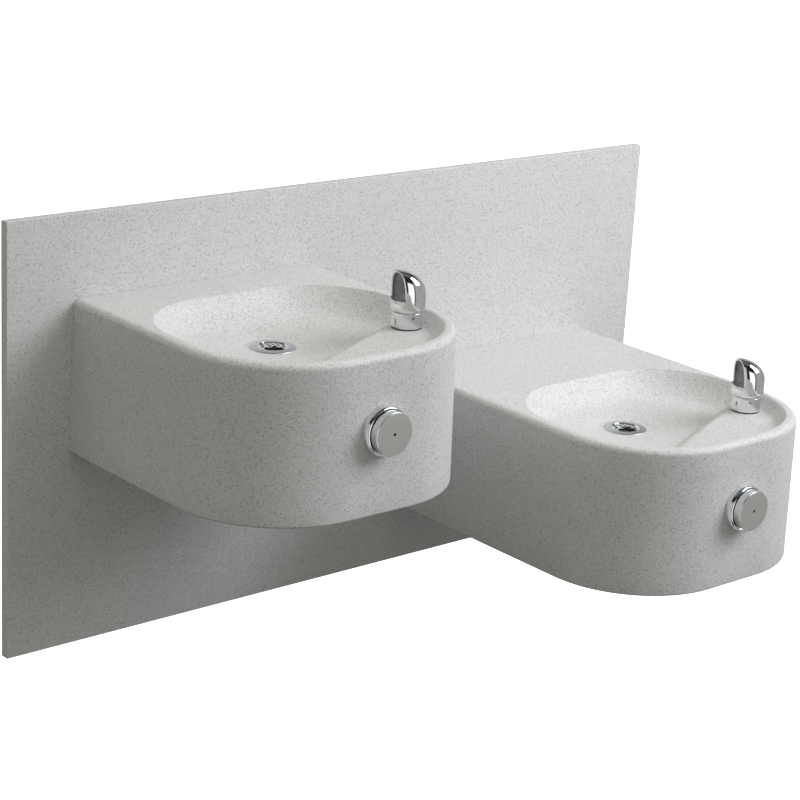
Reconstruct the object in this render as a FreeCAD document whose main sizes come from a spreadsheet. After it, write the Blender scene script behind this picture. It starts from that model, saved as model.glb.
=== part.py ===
import FreeCAD, Part
import Sketcher
import math
import os

Vector = FreeCAD.Vector
doc = FreeCAD.newDocument("drinking_fountain")

# The origin is the centre of the panel's rear face, where the wall is: +X to the right, -Y towards the
# person who drinks, +Z up. Each basin also has an origin of its own, at the middle of its front edge and
# level with its rim, and everything in a basin is placed from there.

DRIVING = {
    "panel_width": 1016.0, "panel_height": 533.4, "panel_thick": 12.7,
    "basin_width": 350.0, "basin_height": 186.4, "basin_offset": 244.8,
    "high_depth": 358.0, "low_depth": 467.0, "high_rim": 166.0, "low_rim": 13.1,
    "corner_radius": 135.0, "rim_round": 8.0, "foot_round": 3.0,
    "side_wall": 12.0, "rear_wall": 15.0, "top_thick": 12.0,
    # the bowl: its outline at the rim, half way down and at the floor
    "bowl_margin": 14.0, "bowl_back": 290.0, "bowl_back_radius": 110.0,
    "bowl_deep": 44.5, "bowl_mid_deep": 28.0, "bowl_mid_inset": 15.0,
    "floor_half": 105.0, "floor_front": 95.0, "floor_back": 252.0, "floor_radius": 65.0,
    "floor_thick": 10.0,
    # the ledge that the bubbler stands on, bounded by a sloping crease across the corner
    "ledge_deep": 15.0, "ledge_thick": 12.0, "crease_past": 25.0, "crease_angle": 24.0,
    "bubbler_across": 125.0, "bubbler_back": 115.0,
    "drain_back": 205.0, "button_down": 86.0,
    # fastening to the wall
    "stud_radius": 4.7625, "stud_across": 260.0, "stud_apart": 80.0, "stud_top_down": 75.0,
    "stud_out": 50.0, "stud_hole": 5.6, "washer_radius": 11.0, "washer_thick": 2.0,
    "stud_nut_radius": 9.5, "stud_nut_thick": 8.0, "stud_neck": 4.4, "stud_inner": 3.97, "stud_end": 4.0,
    # bottom cover
    "cover_thick": 2.5, "cover_recess": 2.4, "cover_gap": 0.5, "boss_radius": 10.0,
    "boss_height": 22.0, "boss_inset": 8.0, "screw_radius": 2.4, "screw_length": 16.0,
    "screw_head_radius": 4.6, "screw_head_thick": 2.2, "screw_slack": 0.4, "screw_hole_end": 4.0,
    # bubbler
    "head_radius": 20.75, "ring_radius": 18.5, "ring_top": 20.5, "head_foot": 21.5,
    "tray_height": 36.0, "head_top": 72.0, "mouth_plane": 11.0,
    "vault_radius": 32.5, "arch_radius": 21.5,
    "hood_wall": 2.2, "spigot_radius": 14.0, "spigot_foot": 9.0, "shank_radius": 6.35,
    "shank_bore": 4.0, "shank_foot": 45.0, "shank_top": 26.0, "nozzle_radius": 5.0,
    "nozzle_top": 41.0, "nozzle_bore": 1.5, "gasket_thick": 1.5, "fit_gap": 0.05,
    "grub_radius": 2.0, "grub_height": 15.5, "grub_turn": 77.0, "grub_short": 0.5,
    "gasket_inset": 0.6, "ring_chamfer": 1.0, "head_chamfer": 0.8, "socket_deeper": 0.5,
    "nozzle_chamfer": 2.0, "shank_slack": 0.6, "bubbler_nut_radius": 13.0, "bubbler_nut_thick": 7.0,
    # push button and valve, measured outwards from the front wall
    "cap_radius": 25.5, "cap_face": 20.5, "cap_face_thick": 2.5, "cap_rim": 7.5, "cap_wall": 2.0,
    "pinhole": 1.75, "escutcheon_radius": 30.0, "escutcheon_height": 9.0,
    "sleeve_radius": 13.0, "sleeve_end": 34.0, "sleeve_flange": 17.0, "pocket_radius": 9.5,
    "pocket_end": 14.0, "stem_radius": 6.0, "stem_bore": 3.6, "stem_end": 36.5,
    "collar_radius": 8.0, "spring_radius": 7.8, "spring_wire": 0.6, "spring_pitch": 4.6,
    "valve_radius": 18.0, "valve_start": 30.0, "valve_end": 75.0, "port_radius": 8.0,
    "port_bore": 4.0, "port_length": 26.0, "outlet_back": 40.0, "valve_nut_radius": 19.0,
    "valve_nut_thick": 8.0, "cap_chamfer": 1.2, "cap_clear": 0.7, "plate_slack": 0.2, "plate_floor": 2.0,
    "plate_flat": 4.0, "plate_bend_down": 1.6, "plate_bend_in": 0.9, "plate_top_in": 2.6,
    "sleeve_slack": 0.5, "flange_end": 4.0, "regulator_tip": 2.2, "regulator_past": 1.5,
    "regulator_head": 22.0, "driver_wide": 1.2, "driver_deep": 2.0, "driver_long": 10.0,
    "seat": 52.0, "seat_bore": 5.0, "poppet_radius": 7.0, "poppet_thick": 4.0, "poppet_stem": 3.0,
    "room_radius": 10.0, "room_end": 46.0, "inlet_room": 9.0, "inlet_grow": 4.0, "inlet_long": 10.0,
    "coil_slack": 0.1,
    # waste
    "flange_radius": 28.0, "flange_thick": 1.6, "dome_radius": 16.0, "thread_radius": 19.0,
    "thread_end": 33.5, "seal_thick": 3.0, "drain_nut_thick": 6.0, "drain_nut_radius": 28.0,
    "waste_radius": 15.875, "waste_bore": 14.3, "waste_out": 45.0, "arm_down": 135.0,
    "bend_radius": 30.0, "slip_radius": 24.0, "slip_thread": 10.0, "slip_lip": 3.0,
    "waste_hole": 21.0, "throat_radius": 16.5, "dish_radius": 17.5, "land_radius": 19.5,
    "flange_edge": 0.9, "flange_slope": 0.6, "dome_foot": 1.2, "dome_under": 2.8, "dome_top": 1.7,
    "dome_skin": 1.6, "dome_ring": 11.0, "dome_ring_top": 0.6, "dome_ring_under": 1.0,
    "dome_hub": 5.0, "dome_hub_top": 1.5, "dome_hub_under": 0.1,
    "hub_hole": 1.35, "strainer_hole": 1.6, "inner_holes": 5.2, "outer_holes": 10.4, "hole_slack": 0.5,
    "seal_radius": 27.0, "tail_flange": 18.5, "tail_thick": 2.0, "socket_depth": 10.0,
    "slip_over": 8.0, "slip_slack": 0.1, "collar_behind": 2.0, "collar_thick": 3.0,
    # water supply
    "tube_radius": 4.7625, "tube_bore": 3.9, "supply_across": 100.0, "supply_down": 120.0,
    "supply_out": 45.0, "supply_hole": 9.0, "stop_radius": 11.0, "stop_length": 30.0,
    "stop_back": 45.0, "stop_stem_radius": 5.0, "stop_boss_radius": 9.0, "stop_boss_end": 25.0,
    "stop_room_top": 7.0, "stop_stem_out": 3.0, "stop_slot_long": 14.0, "stop_slot_wide": 1.4,
    "stop_slot_deep": 2.5, "bend_small": 20.0, "supply_collar": 7.0, "feed_drop": 125.0, "feed_rise": 205.0,
    "feed_past": 10.0, "rise_across": 62.0, "stop_way": 0.2, "stop_way_long": 20.0,
    # tools that cut: how long they are and how far they pass a face
    "tool_long": 60.0, "tool_short": 30.0, "tool_past": 5.0, "skin": 1.0,
    "wedge_reach": 260.0, "wedge_long": 460.0, "wedge_deep": 60.0, "wedge_room_start": 5.0,
}


class Size:
    """A number together with the spreadsheet expression that gives it."""

    def __init__(self, value, text):
        self.value, self.text = float(value), text

    def join(self, other, sign, left=False):
        other = size(other)
        a, b = (other, self) if left else (self, other)
        results = {"+": a.value + b.value, "-": a.value - b.value, "*": a.value * b.value}
        return Size(results[sign], f"({a.text} {sign} {b.text})")

    def __add__(self, other):
        return self.join(other, "+")

    def __radd__(self, other):
        return self.join(other, "+", left=True)

    def __sub__(self, other):
        return self.join(other, "-")

    def __rsub__(self, other):
        return self.join(other, "-", left=True)

    def __mul__(self, other):
        return self.join(other, "*")

    def __rmul__(self, other):
        return self.join(other, "*", left=True)

    def __neg__(self):
        return Size(-self.value, f"(-1 * {self.text})")


def size(value):
    return value if isinstance(value, Size) else Size(value, f"{float(value):.6f}")


def fill_sheet():
    sheet = doc.addObject("Spreadsheet::Sheet", "dims")
    for row, (alias, value) in enumerate(DRIVING.items(), start=1):
        sheet.set(f"A{row}", alias)
        sheet.set(f"B{row}", str(value))
        sheet.setAlias(f"B{row}", alias)
    doc.recompute()
    return {alias: Size(value, f"dims.{alias}") for alias, value in DRIVING.items()}


D = fill_sheet()
nodes = {}


def bind(obj, prop, value):
    obj.setExpression(prop, size(value).text)


def place(obj, at, rotation=None):
    """Puts obj at a point whose three coordinates are sizes, turned by rotation."""
    obj.Placement = FreeCAD.Placement(Vector(*[size(v).value for v in at]), rotation or FreeCAD.Rotation())
    for axis, value in zip("xyz", at):
        bind(obj, f"Placement.Base.{axis}", value)


def node(name, obj):
    obj.Label = name
    nodes[name] = obj
    return obj


def about(axis, angle):
    return FreeCAD.Rotation(Vector(*axis), angle)


UPRIGHT = FreeCAD.Rotation()
OUTWARDS = about((1, 0, 0), 90)      # a turned part's +Z points at the person who drinks
INWARDS = about((1, 0, 0), -90)      # a turned part's +Z points at the wall


def new_body(name):
    return doc.addObject("PartDesign::Body", name)


def new_sketch(body, plane, lift=0.0):
    sketch = body.newObject("Sketcher::SketchObject", "sketch")
    sketch.AttachmentSupport = [(f, "") for f in body.Origin.OriginFeatures if f.Role == plane]
    sketch.MapMode = "FlatFace"
    if size(lift).value:
        bind(sketch, "AttachmentOffset.Base.z", lift)
    return sketch


def pin_point(sketch, geo, end, x, y):
    """Fixes one end of a sketch element at two sizes measured from the origin."""
    for kind, value, axis in (("DistanceX", size(x), -2), ("DistanceY", size(y), -1)):
        if abs(value.value) < 1e-9:
            sketch.addConstraint(Sketcher.Constraint("PointOnObject", geo, end, axis))
        else:
            index = sketch.addConstraint(Sketcher.Constraint(kind, -1, 1, geo, end, value.value))
            sketch.setExpression(f"Constraints[{index}]", value.text)


def draw_polygon(sketch, points):
    corners = [Vector(size(x).value, size(y).value, 0) for x, y in points]
    first = sketch.GeometryCount
    for a, b in zip(corners, corners[1:] + corners[:1]):
        sketch.addGeometry(Part.LineSegment(a, b), False)
    count = len(points)
    for i in range(count):
        after = first + (i + 1) % count
        sketch.addConstraint(Sketcher.Constraint("Coincident", first + i, 2, after, 1))
    for i, (x, y) in enumerate(points):
        pin_point(sketch, first + i, 1, x, y)


def draw_circle(sketch, x, y, radius):
    centre = Vector(size(x).value, size(y).value, 0)
    geo = sketch.addGeometry(Part.Circle(centre, Vector(0, 0, 1), size(radius).value), False)
    index = sketch.addConstraint(Sketcher.Constraint("Radius", geo, size(radius).value))
    sketch.setExpression(f"Constraints[{index}]", size(radius).text)
    pin_point(sketch, geo, 3, x, y)


def draw_rounded(sketch, half, front, back, front_radius, back_radius):
    """A rectangle from -half to half and front to back with rounded corners; back_radius may be None."""
    h, f, b = size(half).value, size(front).value, size(back).value
    rf = size(front_radius).value
    rb = size(back_radius).value if back_radius is not None else 0.0
    up = Vector(0, 0, 1)

    def line(x0, y0, x1, y1):
        return sketch.addGeometry(Part.LineSegment(Vector(x0, y0, 0), Vector(x1, y1, 0)), False)

    def arc(x, y, r, start):
        circle = Part.Circle(Vector(x, y, 0), up, r)
        turn = math.radians(start)
        return sketch.addGeometry(Part.ArcOfCircle(circle, turn, turn + math.pi / 2), False)

    def lay_flat(geo, value):
        sketch.addConstraint(Sketcher.Constraint("Horizontal", geo))
        index = sketch.addConstraint(Sketcher.Constraint("DistanceY", -1, 1, geo, 1, size(value).value))
        sketch.setExpression(f"Constraints[{index}]", size(value).text)

    def stand(geo, value):
        sketch.addConstraint(Sketcher.Constraint("Vertical", geo))
        index = sketch.addConstraint(Sketcher.Constraint("DistanceX", -1, 1, geo, 1, size(value).value))
        sketch.setExpression(f"Constraints[{index}]", size(value).text)

    def set_radius(geo, value):
        index = sketch.addConstraint(Sketcher.Constraint("Radius", geo, size(value).value))
        sketch.setExpression(f"Constraints[{index}]", size(value).text)

    front_line = line(-h + rf, f, h - rf, f)
    front_right = arc(h - rf, f + rf, rf, 270)
    right_line = line(h, f + rf, h, b - rb)
    chain = [front_line, front_right, right_line]
    if rb:
        back_right = arc(h - rb, b - rb, rb, 0)
        chain.append(back_right)
    back_line = line(h - rb, b, -h + rb, b)
    chain.append(back_line)
    if rb:
        back_left = arc(-h + rb, b - rb, rb, 90)
        chain.append(back_left)
    left_line = line(-h, b - rb, -h, f + rf)
    front_left = arc(-h + rf, f + rf, rf, 180)
    chain += [left_line, front_left]
    arcs = {front_right, front_left} | ({back_right, back_left} if rb else set())
    for a, c in zip(chain, chain[1:] + chain[:1]):
        kind = "Tangent" if (a in arcs or c in arcs) else "Coincident"
        sketch.addConstraint(Sketcher.Constraint(kind, a, 2, c, 1))
    lay_flat(front_line, front)
    lay_flat(back_line, back)
    stand(right_line, half)
    stand(left_line, -size(half))
    for geo in (front_right, front_left):
        set_radius(geo, front_radius)
    if rb:
        for geo in (back_right, back_left):
            set_radius(geo, back_radius)


def turned(name, profile, at, rotation=UPRIGHT):
    """A part turned on a lathe: profile holds (radius, height) points, revolved about Z."""
    body = new_body(name)
    sketch = new_sketch(body, "XZ_Plane")
    draw_polygon(sketch, profile)
    revolution = body.newObject("PartDesign::Revolution", "turn")
    revolution.Profile = sketch
    revolution.ReferenceAxis = (sketch, ["V_Axis"])
    revolution.Angle = 360
    place(body, at, rotation)
    return body


def lofted(name, outlines, at):
    """A solid through rounded outlines, each given with its height."""
    body = new_body(name)
    sketches = []
    for height, outline in outlines:
        sketch = new_sketch(body, "XY_Plane", height)
        draw_rounded(sketch, *outline)
        sketches.append(sketch)
    loft = body.newObject("PartDesign::AdditiveLoft", "loft")
    loft.Profile = sketches[0]
    loft.Sections = sketches[1:]
    loft.Ruled = True
    place(body, at)
    return body


def cylinder(radius, height, at, rotation=UPRIGHT):
    rod = doc.addObject("Part::Cylinder", "rod")
    bind(rod, "Radius", radius)
    bind(rod, "Height", height)
    place(rod, at, rotation)
    return rod


def cut(base, tool):
    result = doc.addObject("Part::Cut", "cut")
    result.Base, result.Tool = base, tool
    return result


def fuse(*shapes):
    result = doc.addObject("Part::MultiFuse", "fuse")
    result.Shapes = list(shapes)
    return result


def common(*shapes):
    result = doc.addObject("Part::MultiCommon", "common")
    result.Shapes = list(shapes)
    return result


def group(name, members):
    result = doc.addObject("Part::Compound", name)
    result.Links = members
    return node(name, result)


def hex_nut(across_corner, hole, thick, at, rotation=UPRIGHT):
    prism = doc.addObject("Part::Prism", "hexagon")
    prism.Polygon = 6
    bind(prism, "Circumradius", across_corner)
    bind(prism, "Height", thick)
    place(prism, at, rotation)
    return cut(prism, cylinder(hole, thick, at, rotation))


def bent_tube(name, points, bend, at):
    """A copper tube along straight runs joined by tangent arcs, all of one radius."""
    route = [Vector(*[size(v).value for v in p]) for p in points]
    radius = size(bend).value
    edges, start = [], route[0]
    for before, corner, after in zip(route, route[1:], route[2:]):
        incoming, outgoing = (corner - before).normalize(), (after - corner).normalize()
        half_turn = incoming.getAngle(outgoing) / 2
        back = radius * math.tan(half_turn)
        enter, leave = corner - incoming * back, corner + outgoing * back
        towards_centre = (outgoing - incoming).normalize()
        middle = corner + towards_centre * (radius / math.cos(half_turn) - radius)
        edges.append(Part.LineSegment(start, enter).toShape())
        edges.append(Part.Arc(enter, middle, leave).toShape())
        start = leave
    edges.append(Part.LineSegment(start, route[-1]).toShape())
    path = Part.Wire(edges)
    direction = (route[1] - route[0]).normalize()

    def swept(r):
        ring = Part.Wire([Part.Circle(route[0], direction, r).toShape()])
        return path.makePipeShell([ring], True, False)

    tube = doc.addObject("Part::Feature", name)
    outer, inner = swept(D["tube_radius"].value), swept(D["tube_bore"].value)
    tube.Shape = outer.cut(inner)
    expected = math.pi * (D["tube_radius"].value ** 2 - D["tube_bore"].value ** 2) * path.Length
    print(f"{name}: length {path.Length:.1f}, volume {tube.Shape.Volume:.0f} of {expected:.0f}")
    place(tube, at)
    return node(name, tube)


class Basin:
    def __init__(self, name, side, turn):
        self.name = name
        self.depth = D[f"{name}_depth"]
        self.x = side * D["basin_offset"]
        self.y = -(D["panel_thick"] + self.depth)
        self.z = D[f"{name}_rim"]
        self.mouth_turn = turn       # how far the bubbler's mouth is turned back from facing left

    def at(self, x=0.0, y=0.0, z=0.0):
        return (self.x + x, self.y + y, self.z + z)

    def label(self, piece):
        return f"{self.name}_{piece}"


BASINS = [Basin("high", -1, 10.0), Basin("low", 1, 25.0)]


def stud_places(basin):
    half = D["stud_across"] * 0.5
    for x in (-half, half):
        for z in (-D["stud_top_down"], -(D["stud_top_down"] + D["stud_apart"])):
            yield x, z


def cover_screw_places(basin):
    reach = D["corner_radius"] - D["side_wall"] - D["boss_inset"]
    corner_x = D["basin_width"] * 0.5 - D["corner_radius"] + reach * math.sqrt(0.5)
    corner_y = D["corner_radius"] - reach * math.sqrt(0.5)
    side_x = D["basin_width"] * 0.5 - D["side_wall"] - D["boss_inset"]
    rear_y = basin.depth - D["rear_wall"] - D["boss_inset"]
    for sign in (-1, 1):
        yield sign * corner_x, corner_y
        yield sign * side_x, (corner_y + rear_y) * 0.5
        yield sign * side_x, rear_y


def make_panel():
    body = new_body("back_panel")
    sketch = new_sketch(body, "XZ_Plane")
    half_w, half_h = D["panel_width"] * 0.5, D["panel_height"] * 0.5
    draw_polygon(sketch, [(-half_w, -half_h), (half_w, -half_h), (half_w, half_h), (-half_w, half_h)])
    for basin in BASINS:
        for x, z in stud_places(basin):
            draw_circle(sketch, basin.x + x, basin.z + z, D["stud_hole"])
        draw_circle(sketch, basin.x, basin.z - D["arm_down"], D["waste_hole"])
        supply_x, supply_z = basin.x + D["supply_across"], basin.z - D["supply_down"]
        draw_circle(sketch, supply_x, supply_z, D["supply_hole"])
    pad = body.newObject("PartDesign::Pad", "pad")
    pad.Profile = sketch
    bind(pad, "Length", D["panel_thick"])       # the sketch plane's normal is -Y
    return node("back_panel", body)


def outer_block(basin):
    body = new_body(basin.label("outer"))
    sketch = new_sketch(body, "XY_Plane", -D["basin_height"])
    draw_rounded(sketch, D["basin_width"] * 0.5, 0.0, basin.depth, D["corner_radius"], None)
    pad = body.newObject("PartDesign::Pad", "pad")
    pad.Profile = sketch
    bind(pad, "Length", D["basin_height"])
    doc.recompute()

    def round_edges(base, height, radius):
        """Rounds the level edges at one height, all but the one against the panel."""
        names = []
        for i, edge in enumerate(base.Shape.Edges, start=1):
            box = edge.BoundBox
            level = abs(box.ZMin - height) < 0.01 and abs(box.ZMax - height) < 0.01
            if level and box.YMin < basin.depth.value - 1.0:
                names.append(f"Edge{i}")
        fillet = body.newObject("PartDesign::Fillet", "round")
        fillet.Base = (base, names)
        bind(fillet, "Radius", radius)
        doc.recompute()
        return fillet

    topped = round_edges(pad, 0.0, D["rim_round"])
    round_edges(topped, -D["basin_height"].value, D["foot_round"])
    place(body, basin.at())
    return body


def bowl_outlines(grow, top, drop):
    """The bowl's outline at its rim, half way down and at its floor, grown outwards and dropped."""
    margin, inset = D["bowl_margin"], D["bowl_mid_inset"]
    half = D["basin_width"] * 0.5 - margin + grow
    front, back = margin - grow, D["bowl_back"] + grow
    front_radius, back_radius = D["corner_radius"] - margin + grow, D["bowl_back_radius"] + grow
    rim = (half, front, back, front_radius, back_radius)
    middle = (half - inset, front + inset, back - inset, front_radius - inset, back_radius - inset)
    floor = (D["floor_half"] + grow, D["floor_front"] - grow, D["floor_back"] + grow,
             D["floor_radius"] + grow, D["floor_radius"] + grow)
    return [(top, rim), (-D["bowl_mid_deep"] - drop, middle), (-D["bowl_deep"] - drop, floor)]


def corner_wedge(basin, name, start, top, foot):
    """The prism that raises the ledge: flat from start at height top, sloping down to foot behind it."""
    body = new_body(name)
    sketch = new_sketch(body, "XZ_Plane")
    slope = top - foot
    end = start + D["wedge_reach"]
    draw_polygon(sketch, [(start, top), (end, top), (end, foot), (start - slope, foot)])
    pad = body.newObject("PartDesign::Pad", "pad")
    pad.Profile = sketch
    bind(pad, "Length", D["wedge_long"])
    pad.SideType = "Symmetric"
    # the sketch's X points across the crease, towards the front right corner
    place(body, basin.at(D["bubbler_across"], D["bubbler_back"] + D["crease_past"]),
          about((0, 0, 1), D["crease_angle"].value - 90.0))
    return body


def make_shell(basin):
    deep, thick = D["ledge_deep"], D["ledge_thick"]
    label = basin.label
    foot, skin = -(deep + D["wedge_deep"]), D["skin"]
    ledge = corner_wedge(basin, label("ledge"), size(0.0), -deep, foot)
    # the room under the ledge starts further into the corner, so that the slope keeps its thickness
    ledge_room = corner_wedge(basin, label("ledge_room"), D["wedge_room_start"], -(deep + thick), foot)
    bowl = lofted(label("bowl"), bowl_outlines(0.0, skin, 0.0), basin.at())
    under = lofted(label("under"), bowl_outlines(D["floor_thick"], skin, D["floor_thick"]), basin.at())

    inner = new_body(label("inner"))
    sketch = new_sketch(inner, "XY_Plane", -(D["basin_height"] + skin))
    wall = D["side_wall"]
    draw_rounded(sketch, D["basin_width"] * 0.5 - wall, wall, basin.depth - D["rear_wall"],
                 D["corner_radius"] - wall, None)
    pad = inner.newObject("PartDesign::Pad", "pad")
    pad.Profile = sketch
    bind(pad, "Length", D["basin_height"] + skin - D["top_thick"])
    place(inner, basin.at())

    bosses = []
    boss_foot = -D["basin_height"] + D["cover_recess"] + D["cover_thick"]
    for x, y in cover_screw_places(basin):
        bosses.append(cylinder(D["boss_radius"], D["boss_height"], basin.at(x, y, boss_foot)))
    room = cut(cut(inner, cut(under, ledge_room)), fuse(*bosses))
    hollowed = cut(cut(outer_block(basin), room), cut(bowl, ledge))

    long, short, past = D["tool_long"], D["tool_short"], D["tool_past"]
    drain_low = -(D["bowl_deep"] + long * 0.5)
    holes = [
        cylinder(D["thread_radius"] + D["hole_slack"], long, basin.at(0, D["drain_back"], drain_low)),
        cylinder(D["shank_radius"] + D["shank_slack"], long,
                 basin.at(D["bubbler_across"], D["bubbler_back"], -long)),
        cylinder(D["sleeve_radius"] + D["sleeve_slack"], short,
                 basin.at(0, -past, -D["button_down"]), INWARDS),
    ]
    rear = basin.depth - D["rear_wall"] - past
    for x, z in stud_places(basin):
        holes.append(cylinder(D["stud_hole"], short, basin.at(x, rear, z), INWARDS))
    holes.append(cylinder(D["waste_hole"], short, basin.at(0, rear, -D["arm_down"]), INWARDS))
    supply = basin.at(D["supply_across"], rear, -D["supply_down"])
    holes.append(cylinder(D["supply_hole"], short, supply, INWARDS))
    screw_hole = D["boss_height"] - D["screw_hole_end"]
    for x, y in cover_screw_places(basin):
        holes.append(cylinder(D["screw_radius"], screw_hole, basin.at(x, y, boss_foot - skin)))
    return node(label("basin_shell"), cut(hollowed, fuse(*holes)))


def make_cover(basin):
    inset = D["side_wall"] + D["cover_gap"]
    body = new_body(basin.label("bottom_cover"))
    sketch = new_sketch(body, "XY_Plane")
    draw_rounded(sketch, D["basin_width"] * 0.5 - inset, inset, basin.depth - D["rear_wall"] - D["cover_gap"],
                 D["corner_radius"] - inset, None)
    for x, y in cover_screw_places(basin):
        draw_circle(sketch, x, y, D["screw_radius"] + D["screw_slack"])
    pad = body.newObject("PartDesign::Pad", "pad")
    pad.Profile = sketch
    bind(pad, "Length", D["cover_thick"])
    place(body, basin.at(0, 0, -D["basin_height"] + D["cover_recess"]))
    return node(basin.label("bottom_cover"), body)


def make_bubbler(basin):
    ledge = basin.at(D["bubbler_across"], D["bubbler_back"], -D["ledge_deep"])
    turn = about((0, 0, 1), 180.0 - basin.mouth_turn)      # local +X comes out of the mouth
    gap, shank = D["fit_gap"], D["shank_radius"]
    label = basin.label

    def lathe(piece, profile):
        return node(label(piece), turned(label(piece), profile, ledge))

    seal, seal_radius = D["gasket_thick"], D["ring_radius"] - D["gasket_inset"]
    lathe("bubbler_gasket", [(shank + gap, 0.0), (seal_radius, 0.0), (seal_radius, seal),
                             (shank + gap, seal)])
    ring, top, socket = D["ring_radius"], D["ring_top"], D["spigot_radius"] + gap
    floor, bevel = D["spigot_foot"] - D["socket_deeper"], D["ring_chamfer"]
    rim = [(shank + gap, seal), (ring, seal), (ring, top - bevel), (ring - bevel, top), (socket, top),
           (socket, floor), (shank + gap, floor)]
    base = turned(label("bubbler_ring"), rim, ledge)
    grub_at = (ledge[0], ledge[1], ledge[2] + D["grub_height"])
    grub_azimuth = 180.0 - basin.mouth_turn + D["grub_turn"].value
    grub_turn = about((0, 0, 1), grub_azimuth).multiply(about((0, 1, 0), 90))
    node(label("bubbler_base"), cut(base, cylinder(D["grub_radius"], D["tool_short"], grub_at, grub_turn)))

    lathe("bubbler_shank", [(D["shank_bore"], -D["shank_foot"]), (shank, -D["shank_foot"]),
                            (shank, D["shank_top"]), (D["shank_bore"], D["shank_top"])])
    nozzle, bore, bevel = D["nozzle_radius"], D["nozzle_bore"], D["nozzle_chamfer"]
    lathe("bubbler_nozzle", [(bore, D["shank_top"]), (nozzle, D["shank_top"]),
                             (nozzle, D["nozzle_top"] - bevel), (nozzle - bevel, D["nozzle_top"]),
                             (bore, D["nozzle_top"])])

    # the hood: a turned lower half, then a dome that rises towards the mouth and is hollow from there
    head, foot, tray, bevel = D["head_radius"], D["head_foot"], D["tray_height"], D["head_chamfer"]
    lower = turned(label("head_lower"), [
        (shank + gap, D["spigot_foot"]), (D["spigot_radius"], D["spigot_foot"]),
        (D["spigot_radius"], foot), (head - bevel, foot), (head, foot + bevel), (head, tray),
        (nozzle + gap, tray), (nozzle + gap, D["shank_top"]), (shank + gap, D["shank_top"])], ledge)

    def dome(thinner):
        """The upper half of the hood, or its hollow when thinner is the wall's thickness."""
        plane, peak = D["mouth_plane"], D["head_top"]
        vault, arch = D["vault_radius"], D["arch_radius"]
        long, half, past = D["tool_long"], D["tool_short"], D["tool_past"]
        barrel = cylinder(head - thinner, peak - tray + past, (0.0, 0.0, tray))
        across = cylinder(vault - thinner, long, (plane, half, peak - vault), OUTWARDS)
        along = cylinder(arch - thinner, long, (-half, 0.0, peak - arch), about((0, 1, 0), 90))
        skirt = doc.addObject("Part::Box", "skirt")
        bind(skirt, "Length", long)
        bind(skirt, "Width", (arch - thinner) * 2.0)
        bind(skirt, "Height", peak - arch - tray + past)
        place(skirt, (-half, -(arch - thinner), tray - past))
        return common(barrel, across, fuse(along, skirt))

    beyond = doc.addObject("Part::Box", "beyond_mouth")
    for side in ("Length", "Width", "Height"):
        bind(beyond, side, D["tool_long"])
    bind(beyond, "Placement.Base.y", -D["tool_short"])
    bind(beyond, "Placement.Base.x", D["mouth_plane"])
    bind(beyond, "Placement.Base.z", tray)
    hood = cut(cut(dome(size(0.0)), dome(D["hood_wall"])), beyond)
    turned_hood = doc.addObject("Part::Compound", "turned_hood")
    turned_hood.Links = [hood]
    place(turned_hood, ledge, turn)
    node(label("bubbler_head"), fuse(lower, turned_hood))
    grub_long = D["ring_radius"] - D["spigot_radius"] - D["grub_short"]
    grub = cylinder(D["grub_radius"], grub_long, grub_at, grub_turn)
    ahead = grub_turn.multVec(Vector(0, 0, 1)) * D["spigot_radius"].value
    place(grub, (grub_at[0] + ahead.x, grub_at[1] + ahead.y, grub_at[2]), grub_turn)
    thick = D["bubbler_nut_thick"]
    nut_at = (ledge[0], ledge[1], ledge[2] - (D["ledge_thick"] + thick))
    nut = hex_nut(D["bubbler_nut_radius"], shank, thick, nut_at)
    return grub, nut


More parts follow.
